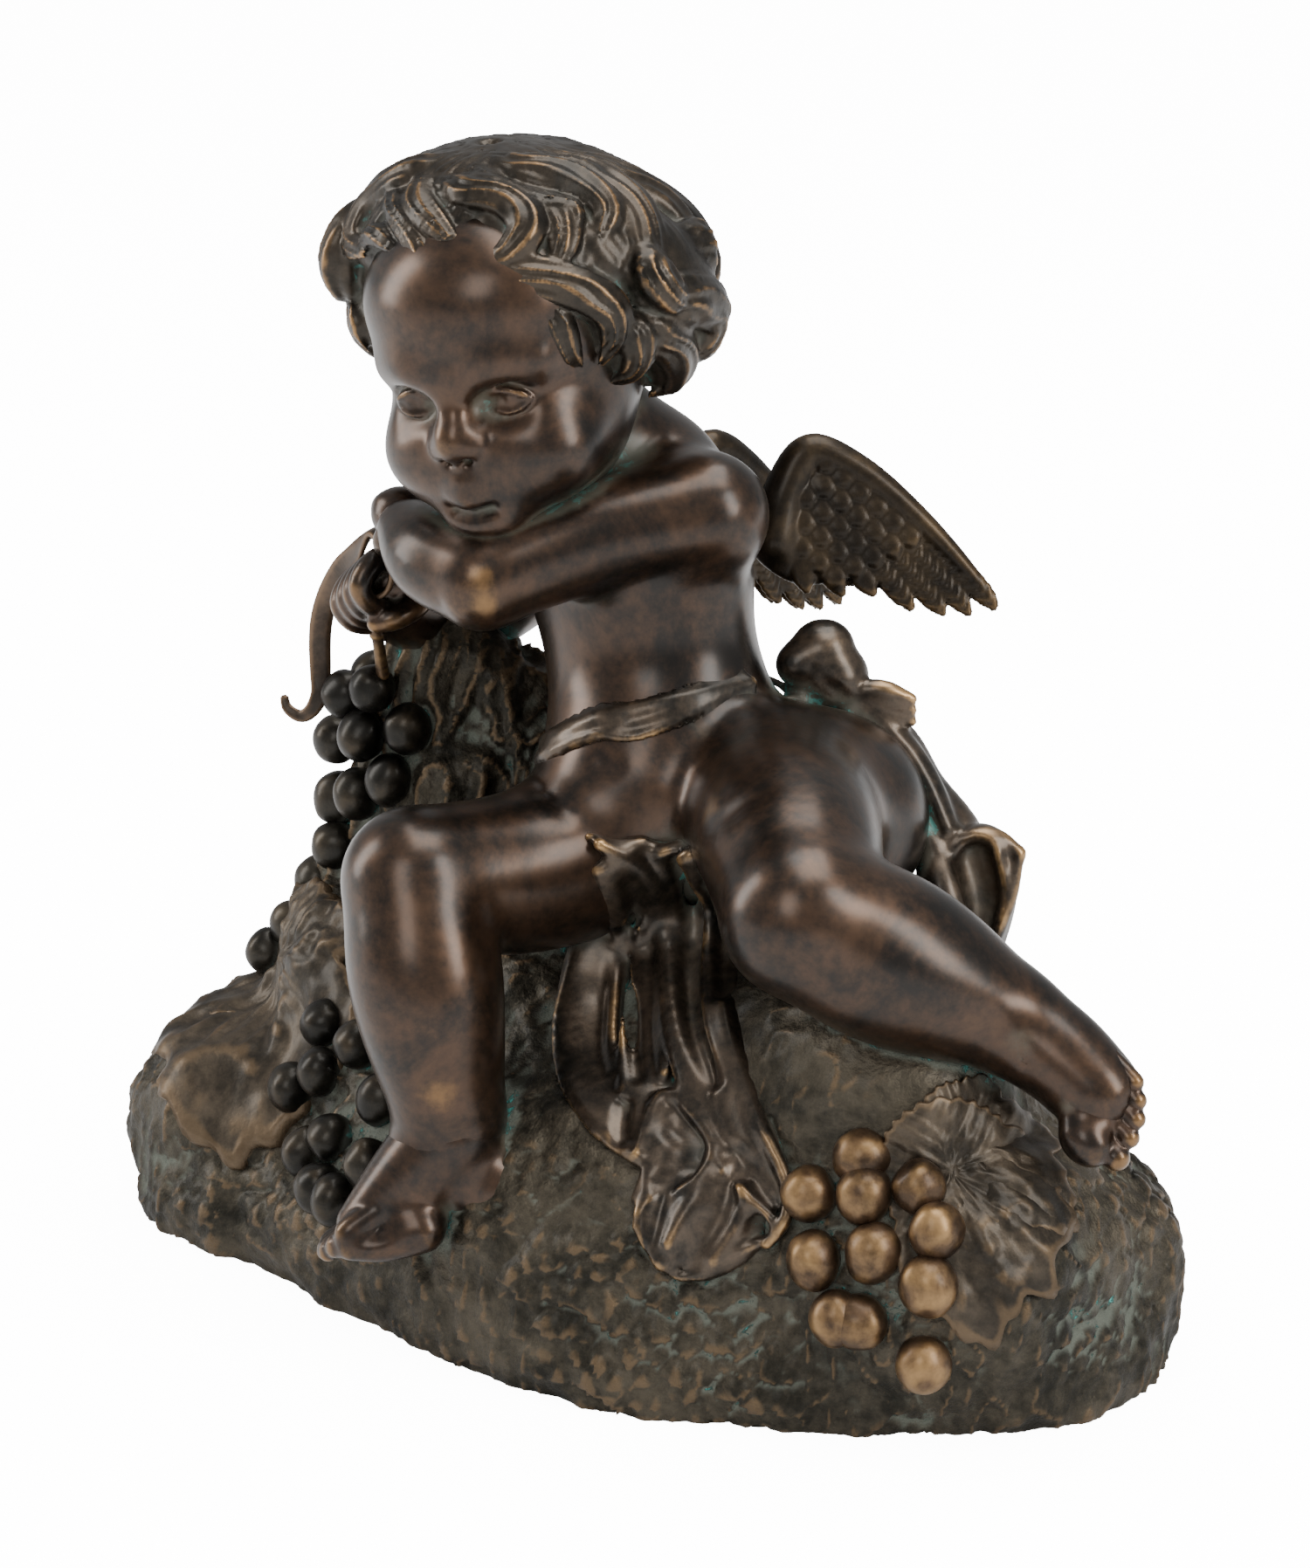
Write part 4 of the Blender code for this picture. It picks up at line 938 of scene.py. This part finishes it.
for spots, radii, lift in (
        ([(96, -67, 86), (96, -75, 72), (90, -81, 59)], [1.4, 2.4, 1.4], 6.6),
        ([(76, -76, 79), (76, -81, 68), (76, -84, 60)], [1.2, 2, 1.2], 6),
        ([(27, -16, 178), (27, -8, 160), (31, -15, 140), (55, -38, 125), (76, -48, 112)],
         [3, 3.4, 3.4, 3.2, 2], 7.4),
        ([(8, -28, 170), (7, -20, 156), (9, -24, 140), (26, -44, 123), (42, -58, 110)],
         [1.6, 2, 2, 2.2, 1.6], 7.4),
        ([(44, -66, 100), (50, -74, 91)], [2.4, 2.2], 6.6),
        ([(68, -66, 98), (76, -66, 94), (78, -72, 87), (72, -78, 82)], [3.4, 4.6, 4, 2.4], 7.6),
        ([(94, -62, 94), (104, -62, 88), (112, -64, 82)], [2, 2.4, 1.6], 7),
        ([(38, -14, 168), (40, -8, 152), (60, -26, 134)], [2, 2.6, 2], 7)):
    crest(spots, radii, lift, 5, cut=True)
finish_piece(smooth_object("drape", drape, 2), cloth_bronze)


# The vine leaves, two over each end of the mound and one behind. Each is laid on the rock and cast
# with it, its blade puffed up between the veins and its rim notched.
leaf_bronze = bronze("leaf_bronze", (0.024, 0.020, 0.015), (0.092, 0.072, 0.051), (0.19, 0.125, 0.068),
                     (0.050, 0.052, 0.041), 0.5, 0.2, 0.4, 0.7, 0.6, 0.7, 0.0006)


UNDER = -4.0  # how far the rim turns down into the rock


def closed_shell(name, points, faces):
    """A smooth object from points in millimetres, its faces turned outwards."""
    mesh = bpy.data.meshes.new(name)
    mesh.from_pydata([tuple(p * MM) for p in points], [], faces)
    form = bmesh.new()
    form.from_mesh(mesh)
    bmesh.ops.remove_doubles(form, verts=form.verts, dist=0.02 * MM)
    bmesh.ops.recalc_face_normals(form, faces=form.faces)
    form.to_mesh(mesh)
    form.free()
    mesh.shade_smooth()
    return stand(name, mesh)


def leaf(name, stalk, tip, outward, lobes, lift=3.0):
    """A leaf from its stalk to its tip. Each lobe is its angle from the middle one in degrees, its
    length as a share of the middle one's, and half its spread in degrees."""
    stalk, tip, outward = (np.array(v, float) for v in (stalk, tip, outward))
    length = np.linalg.norm(tip - stalk)
    along = (tip - stalk) / length
    outward = outward - along * (outward @ along)
    outward = outward / np.linalg.norm(outward)
    across = np.cross(outward, along)
    rings, spokes = 26, 200
    angles = np.linspace(-math.pi, math.pi, spokes, endpoint=False)
    reach = np.full(spokes, 0.4)
    for angle, share, spread in lobes:
        off = np.abs((angles - math.radians(angle) + math.pi) % (2 * math.pi) - math.pi)
        off = off / math.radians(spread)
        reach = np.maximum(reach, share * (0.62 + 0.38 * np.clip(1 - off, 0, 1)) * (off < 1))
    for _ in range(2):
        reach = (np.roll(reach, 1) + 2 * reach + np.roll(reach, -1)) / 4
    reach = reach * (1 + 0.03 * np.sin(angles * 27 + 1.3 * np.sin(angles * 5)))
    points = []
    for ring in range(rings + 2):
        share = min(ring, rings) / rings
        for k, angle in enumerate(angles):
            far = share * reach[k] * length
            a, b = far * math.cos(angle), far * math.sin(angle)
            veins = []
            for lobe_angle, _, _ in lobes:
                turn = math.radians(lobe_angle)
                line = a * math.cos(turn) + b * math.sin(turn)
                gap = abs(b * math.cos(turn) - a * math.sin(turn))
                if line < 0:
                    gap = math.hypot(a, b)
                veins.append((gap, line))
            gap, line = min(veins)
            puffed = 2.2 * (1 - math.exp(-(gap / 5) ** 2)) - 0.4
            vein = 0.7 * math.exp(-(gap / 0.9) ** 2) * (1 - 0.5 * share)
            small_veins = 0.32 * math.cos((line - gap * 0.9) * 2 * math.pi / 6.5) * min(gap / 3, 1)
            wavy_rim = 0.9 * math.sin(2 * angle + 1) * share**3 - 0.8 * share**12
            rise = UNDER if ring > rings else lift + puffed + vein + small_veins + wavy_rim
            spot = stalk + along * a + across * b
            hit, _, _, _ = rock_skin.ray_cast(Vector(spot + outward * 60) * MM, Vector(-outward), 0.12)
            place = np.array(hit) / MM if hit else spot
            points.append(place + outward * rise)
    points = np.array(points)
    grid = points.reshape(rings + 2, spokes, 3)
    grid[:rings + 1] = soften_sheet(grid[:rings + 1])
    points = np.vstack([grid.reshape(-1, 3), grid[-1].mean(0)[None] - outward * 2])
    faces = []
    for ring in range(rings + 1):
        for k in range(spokes):
            after = (k + 1) % spokes
            here, next_ring = ring * spokes, (ring + 1) * spokes
            faces.append((here + k, next_ring + k, next_ring + after, here + after))
    last = (rings + 1) * spokes
    faces += [(last + k, len(points) - 1, last + (k + 1) % spokes) for k in range(spokes)]
    finish_piece(closed_shell(name, points, faces), leaf_bronze)


def soften_sheet(grid):
    """The rings of a sheet with the rock's own roughness under them evened out."""
    for _ in range(3):
        inner = grid[1:-1]
        around = grid[:-2] + grid[2:] + np.roll(inner, 1, 1) + np.roll(inner, -1, 1)
        grid[1:-1] = (inner + around / 4) / 2
    return grid


VINE = ((0, 1, 40), (50, 0.8, 34), (-50, 0.8, 34), (104, 0.56, 38), (-104, 0.56, 38))
leaf("left_leaf", (-152, -34, 92), (-140, -100, 38), (-0.45, -0.7, 0.5), VINE, 3.0)
leaf("far_leaf", (-162, -26, 84), (-184, -55, 60), (-0.7, -0.4, 0.6), VINE, 1.0)
leaf("right_leaf", (172, -36, 101), (199, -46, 42), (0.6, -0.75, 0.3),
     ((0, 1, 30), (27, 0.88, 30), (52, 0.78, 28), (98, 0.5, 38), (-32, 0.66, 28), (-84, 0.34, 34)), 3.0)
leaf("top_leaf", (168, -22, 106), (210, -8, 84), (0.45, -0.5, 0.75), VINE, 1.8)
leaf("back_leaf", (46, 104, 98), (84, 112, 44), (0.1, 0.95, 0.3), VINE, 2.4)


# The grapes: two bunches on the mound's front and one that hangs from the fist against the stump.
# They are cast with the mound, and rubbed bright where hands reach them. The held bunch and the left bunch
# take a darker copy of the grape finish, which is painted shade.
grape_bronze = bronze("grape_bronze", (0.036, 0.022, 0.013), (0.135, 0.082, 0.046), (0.50, 0.31, 0.13),
                      (0.060, 0.062, 0.048), 0.46, 0.25, 0.6, 0.7, 0.6, 0.5, 0.0003)
GRAPE = 9.6  # half a grape's width
HELD_GRAPES = [(-152, -13, 208), (-133, -17, 215), (-140, -17, 194), (-165, -6, 185), (-121, -10, 199),
               (-127, -15, 178), (-145, -15, 168), (-164, -7, 161), (-160, -13, 143), (-173, -10, 124),
               (-172, -26, 110), (-182, -30, 97), (-148, 0, 213), (-158, 8, 198), (-150, -6, 140)]
LEFT_GRAPES = [(-119, -60, 90), (-105, -74, 76), (-121, -74, 66), (-86, -92, 62), (-96, -94, 52),
               (-66, -110, 46), (-52, -102, 60), (-66, -86, 80), (-90, -72, 92), (-76, -102, 44)]
RIGHT_GRAPES = [(137, -39, 104), (164, -45, 98), (149, -56, 92), (128, -59, 87), (180, -54, 87),
                (160, -67, 73), (137, -68, 67), (180, -61, 64), (156, -63, 48), (173, -52, 38),
                (146, -65, 47)]


def grape_tree():
    """A grape on each point: a ball a little longer than wide, each turned its own way."""
    tree = bpy.data.node_groups.new("grapes", "GeometryNodeTree")
    for socket, kind in (("Geometry", "Geometry"), ("Grape Radius", "Float"), ("Material", "Material")):
        tree.interface.new_socket(socket, in_out="INPUT", socket_type="NodeSocket" + kind)
    tree.interface.new_socket("Geometry", in_out="OUTPUT", socket_type="NodeSocketGeometry")
    nodes, links = tree.nodes, tree.links
    given, out = nodes.new("NodeGroupInput"), nodes.new("NodeGroupOutput")
    ball = nodes.new("GeometryNodeMeshIcoSphere")
    ball.inputs["Subdivisions"].default_value = 4
    links.new(given.outputs["Grape Radius"], ball.inputs["Radius"])
    put = nodes.new("GeometryNodeInstanceOnPoints")
    links.new(given.outputs["Geometry"], put.inputs["Points"])
    links.new(ball.outputs["Mesh"], put.inputs["Instance"])
    for socket, low, high, seed in (("Scale", (0.95, 0.95, 1.0), (1.06, 1.06, 1.16), 4),
                                    ("Rotation", (-0.35, -0.35, 0), (0.35, 0.35, 6.28), 9)):
        pick = nodes.new("FunctionNodeRandomValue")
        pick.data_type = "FLOAT_VECTOR"
        pick.inputs["Min"].default_value = low
        pick.inputs["Max"].default_value = high
        pick.inputs["Seed"].default_value = seed
        links.new(pick.outputs["Value"], put.inputs[socket])
    real = nodes.new("GeometryNodeRealizeInstances")
    links.new(put.outputs["Instances"], real.inputs["Geometry"])
    paint = nodes.new("GeometryNodeSetMaterial")
    links.new(real.outputs["Geometry"], paint.inputs["Geometry"])
    links.new(given.outputs["Material"], paint.inputs["Material"])
    links.new(paint.outputs["Geometry"], out.inputs["Geometry"])
    return tree


GRAPES = grape_tree()


grape_middles = []


def bunch(name, spots, finish, radius=GRAPE):
    grape_middles.extend(spots)
    mesh = bpy.data.meshes.new(name + "_points")
    mesh.from_pydata([tuple(np.array(spot) * MM) for spot in spots], [], [])
    carrier = stand(name + "_points", mesh)
    grow = carrier.modifiers.new("grow", "NODES")
    grow.node_group = GRAPES
    for socket in GRAPES.interface.items_tree:
        if socket.name == "Grape Radius":
            grow[socket.identifier] = radius * MM
        if socket.name == "Material":
            grow[socket.identifier] = finish
    solid = carrier.evaluated_get(bpy.context.evaluated_depsgraph_get())
    shape = bpy.data.meshes.new_from_object(solid)
    bpy.data.objects.remove(carrier)
    shape.name = name
    # The wax the grapes were modelled in wasn't quite even.
    skin = np.empty(len(shape.vertices) * 3, np.float32)
    shape.vertices.foreach_get("co", skin)
    skin = skin.reshape(-1, 3) / MM
    uneven = np.column_stack([swells(skin, 8, seed) for seed in (61, 62, 63)])
    shape.vertices.foreach_set("co", ((skin + 0.6 * uneven) * MM).astype(np.float32).ravel())
    shape.update()
    shape.shade_smooth()
    finish_piece(stand(name, shape), finish)


# The grape finish made darker all through for the held and the left bunch: painted shade, not a different
# metal.
shaded_grape = bronze("shaded_grape", (0.011, 0.010, 0.008), (0.036, 0.031, 0.023), (0.16, 0.11, 0.06),
                      (0.030, 0.033, 0.026), 0.45, 0.3, 0.3, 0.8, 0.5, 0.5, 0.0003)
bunch("held_grapes", HELD_GRAPES, shaded_grape)
RAISED = GRAPE * 0.34  # how far a grape's middle stands off the rock
left_spots, _ = laid(rock_skin, LEFT_GRAPES, RAISED)
right_spots, _ = laid(rock_skin, RIGHT_GRAPES, RAISED)
bunch("left_grapes", left_spots, shaded_grape)
bunch("right_grapes", right_spots, grape_bronze, GRAPE * 1.06)

stem = Clay((-134, -38, 216), (-112, -10, 260), 0.6)
stem.roll([(-120, -30, 252), (-123, -24, 241), (-127, -17, 222)], [2.2, 2.2, 2.6], blend=1)
stem.ball((-123.5, -23.5, 240), (3, 3, 2), blend=1)
finish_piece(smooth_object("stem", stem, 1), grape_bronze)


# The bow, a flat strip of bronze bent to shape and soldered in the fist, its tip rolled to a curl.
# It is thinner and duller than the cast metal.
bow_bronze = bronze("bow_bronze", (0.030, 0.024, 0.019), (0.085, 0.062, 0.047), (0.26, 0.16, 0.09),
                    (0.050, 0.050, 0.042), 0.46, 0.2, 0.5, 0.5, 0.2, 0.5, 0.0002)
TOWARD_FRONT = (0.63, -0.71, 0.31)
BOW_ROUTE = [
    ((-119, -39, 261), (0, 0, -1)), ((-110, -38, 261.5), (0.2, 0.1, -1)),
    ((-103.5, -37, 265), (0.75, 0.5, -0.6)),
    ((-101, -37, 272), (0.75, 0.66, 0)), ((-103, -37.5, 279), (0.6, 0.5, 0.6)),
    ((-108, -36, 284.5), (0.2, 0.1, 1)),
    ((-115, -33, 284.5), (0.2, -0.4, 0.9)), ((-130, -27.5, 272.5), (0.5, -0.65, 0.5)),
    ((-142.5, -23, 263), TOWARD_FRONT), ((-153.5, -19.5, 250.5), TOWARD_FRONT),
    ((-161, -16.5, 238), TOWARD_FRONT), ((-164.5, -14.5, 226.5), TOWARD_FRONT),
    ((-164, -15, 215.5), TOWARD_FRONT), ((-162.5, -17, 207), TOWARD_FRONT),
    ((-165, -19.5, 200), TOWARD_FRONT), ((-170, -21, 197), TOWARD_FRONT),
    ((-175.5, -22.5, 199.5), TOWARD_FRONT), ((-178.5, -21.5, 204), TOWARD_FRONT)]
bow_widths = [3.6] * 6 + [4.1, 4.4, 4.5, 4.5, 4.5, 4.4, 4.2, 3.7, 3.0, 2.5, 2.1, 1.6]


def bent_strip(name, route, widths, height):
    """A strip with slightly crowned faces and rounded edges, closed at both ends."""
    rows = [(*place, *normal, width) for (place, normal), width in zip(route, widths)]
    path = smooth_path(rows, 6)
    outline = [(1, 0), (0.94, 0.75), (0.5, 1), (0, 1.08), (-0.5, 1), (-0.94, 0.75)]
    outline += [(-a, -b) for a, b in outline]
    points = []
    for i, row in enumerate(path):
        way = path[min(i + 1, len(path) - 1), :3] - path[max(i - 1, 0), :3]
        across = np.cross(way, row[3:6])
        across = across / np.linalg.norm(across)
        up = np.cross(across, way)
        up = up / np.linalg.norm(up)
        end = 0.55 if i in (0, len(path) - 1) else 1
        points += [row[:3] + across * row[6] * a * end + up * height * b * end for a, b in outline]
    sides = len(outline)
    points += [path[0, :3], path[-1, :3]]
    faces = []
    for i in range(len(path) - 1):
        for k in range(sides):
            after = (k + 1) % sides
            faces.append((i * sides + k, i * sides + after, (i + 1) * sides + after, (i + 1) * sides + k))
    caps = [(len(points) - 2, (k + 1) % sides, k) for k in range(sides)]
    last = (len(path) - 1) * sides
    caps += [(len(points) - 1, last + k, last + (k + 1) % sides) for k in range(sides)]
    return closed_shell(name, points, faces + caps)


finish_piece(bent_strip("bow_strip", BOW_ROUTE, bow_widths, 1.3), bow_bronze, "bow")


# The wear of years, read by every finish above: how hollow the metal is round each point, which
# keeps dust and verdigris, and how proud it is, which hands rub bright.
# Worn bright at the left elbow, the right shin and the left thigh, and dusted grey at the left ankle:
# each place and its reach.
RUBBED = ((-31, -60, 288, 5), (-29, -61, 277, 5), (-1, -118, 110, 8), (-6, -118, 133, 9), (60, -40, 214, 9))
DUSTED = ((181, -8, 145.5, 8), (200, -5, 124.5, 5))


def mark_wear(cell=2.0):
    """Writes how hollow and how proud every point of every piece is, by the metal round it."""
    low, high = np.array((-250.0, -170.0, -12.0)), np.array((256.0, 180.0, 462.0))
    counts = np.ceil((high - low) / cell).astype(int)
    solid = np.zeros(counts, bool)
    axes = [low[i] + cell * np.arange(counts[i]) for i in range(3)]
    for clay in lumps_of_clay:
        picks, spans = [], []
        for i in range(3):
            inside = (axes[i] >= clay.axes[i][0]) & (axes[i] <= clay.axes[i][-1])
            span = np.flatnonzero(inside)
            spans.append(span)
            picks.append(np.clip(np.round((axes[i][span] - clay.low[i]) / clay.cell).astype(int), 0,
                                 clay.depth.shape[i] - 1))
        part = clay.depth[np.ix_(*picks)] < 0
        box = tuple(slice(span[0], span[-1] + 1) for span in spans)
        solid[box] |= part
    x, y, z = np.meshgrid(*axes, indexing="ij", sparse=True)
    for a, b, c in grape_middles:
        solid |= (x - a) ** 2 + (y - b) ** 2 + (z - c) ** 2 < GRAPE**2

    def blurred(field, reach):
        for axis in range(3):
            for _ in range(2):
                rims = [(reach + 1, reach) if i == axis else (0, 0) for i in range(3)]
                total = np.cumsum(np.pad(field, rims, mode="edge"), axis=axis, dtype=np.float64)
                count = field.shape[axis]
                ahead = np.take(total, np.arange(2 * reach + 1, 2 * reach + 1 + count), axis)
                behind = np.take(total, np.arange(count), axis)
                field = ((ahead - behind) / (2 * reach + 1)).astype(np.float32)
        return field

    near = blurred(solid.astype(np.float32), 2)
    wide = blurred(near, 5)

    def read(field, spots):
        place = np.clip((spots - low) / cell, 0, np.array(field.shape) - 1.001)
        base = place.astype(int)
        part = place - base
        total = 0
        for corner in np.ndindex(2, 2, 2):
            share = np.prod(np.where(np.array(corner), part, 1 - part), axis=1)
            total = total + share * field[tuple((base + corner).T)]
        return total

    for name, thing in pieces.items():
        mesh = thing.data
        count = len(mesh.vertices)
        spots = np.empty(count * 3, np.float32)
        mesh.vertices.foreach_get("co", spots)
        spots = spots.reshape(-1, 3) / MM
        outward = np.empty(count * 3, np.float32)
        mesh.vertex_normals.foreach_get("vector", outward)
        outward = outward.reshape(-1, 3)
        pairs = np.empty(len(mesh.edges) * 2, np.int32)
        mesh.edges.foreach_get("vertices", pairs)
        pairs = pairs.reshape(-1, 2)
        step = np.linalg.norm(spots[pairs[:, 0]] - spots[pairs[:, 1]], axis=1).mean()
        rounds = int(np.clip(9 / step**2, 5, 24))
        smoothed = relaxed(spots.astype(float), pairs, rounds)
        proud = ((spots - smoothed) * outward).sum(1)
        closeness = 0.6 * read(near, spots + outward * 2) + 0.9 * read(wide, spots + outward * 5)
        hollow = np.clip((closeness - 0.52) * 2.2 - proud * 0.5, 0, 1)
        crest = np.clip(proud * 1.5 + (0.36 - closeness) * 0.8, 0, 1)
        for mark, values, places in (("hollow", hollow, DUSTED), ("crest", crest, RUBBED)):
            for x, y, z, reach in places:
                values += 0.62 * np.exp(-(((spots - (x, y, z)) / reach) ** 2).sum(1))
            layer = mesh.attributes.new(mark, "FLOAT", "POINT")
            layer.data.foreach_set("value", values.astype(np.float32))


mark_wear()


# The studio: a wide pale floor, large soft lights at both sides, overhead and in front, and the
# camera where the photograph was taken from. The floor and the air are dimmer to gloss than to the eye.
AZIMUTH, ELEVATION, AWAY, LENS = math.radians(41.5), math.radians(18), 1.75, 106.3
AIM = Vector((0, 0, 0.200))
FLOOR_REACH, FLOOR_GLOW = 9, 12
PAPER, PAPER_IN_GLOSS = 0.9, 0.4
AIR, AIR_IN_GLOSS = 2.6, 0.4
LAMP_WHITE = (1, 0.975, 0.94)


def aimed(thing, place):
    thing.location = place
    thing.rotation_mode = "QUATERNION"
    thing.rotation_quaternion = (AIM - place).to_track_quat("-Z", "Y")
    return thing


def by_ray(tree, kind, usual, then, socket):
    """Gives the socket its usual value, and the other one to rays of this kind."""
    ray = tree.nodes.new("ShaderNodeLightPath")
    pick = tree.nodes.new("ShaderNodeMath")
    pick.operation = "MULTIPLY_ADD"
    pick.inputs[1].default_value = then - usual
    pick.inputs[2].default_value = usual
    tree.links.new(ray.outputs[kind], pick.inputs[0])
    tree.links.new(pick.outputs[0], socket)


def studio():
    mesh = bpy.data.meshes.new("floor")
    form = bmesh.new()
    bmesh.ops.create_grid(form, x_segments=1, y_segments=1, size=FLOOR_REACH)
    form.to_mesh(mesh)
    form.free()
    floor = stand("floor", mesh)
    paper = bpy.data.materials.new("floor_paper")
    paper.use_nodes = True
    shader = paper.node_tree.nodes["Principled BSDF"]
    shader.inputs["Roughness"].default_value = 0.9
    shader.inputs["Emission Color"].default_value = (1, 1, 1, 1)
    by_ray(paper.node_tree, "Is Camera Ray", 0, FLOOR_GLOW, shader.inputs["Emission Strength"])
    by_ray(paper.node_tree, "Is Glossy Ray", PAPER, PAPER_IN_GLOSS, shader.inputs["Base Color"])
    mesh.materials.append(paper)
    for name, place, energy, width, height in (
            ("left_light", (-1.7, -1.0, 0.95), 24, 0.6, 1.5),
            ("right_light", (1.9, 0.2, 1.2), 32, 0.7, 1.5),
            ("top_light", (0.2, 0.3, 2.2), 46, 1.8, 1.4),
            ("front_light", (0.7, -2.1, 1.6), 14, 0.9, 1.2)):
        lamp = bpy.data.lights.new(name, "AREA")
        lamp.shape = "RECTANGLE"
        lamp.size, lamp.size_y, lamp.energy = width, height, energy
        lamp.color = LAMP_WHITE
        aimed(stand(name, lamp), Vector(place))
    world = bpy.data.worlds.new("studio_air")
    bpy.context.scene.world = world
    world.use_nodes = True
    air = world.node_tree.nodes["Background"]
    air.inputs["Color"].default_value = (1, 1, 1, 1)
    by_ray(world.node_tree, "Is Glossy Ray", AIR, AIR_IN_GLOSS, air.inputs["Strength"])
    back = Vector((math.sin(AZIMUTH) * math.cos(ELEVATION), -math.cos(AZIMUTH) * math.cos(ELEVATION),
                   math.sin(ELEVATION)))
    lens = bpy.data.cameras.new("camera")
    lens.sensor_width = 36
    lens.lens = LENS
    bpy.context.scene.camera = aimed(stand("camera", lens), AIM + back * AWAY)


studio()
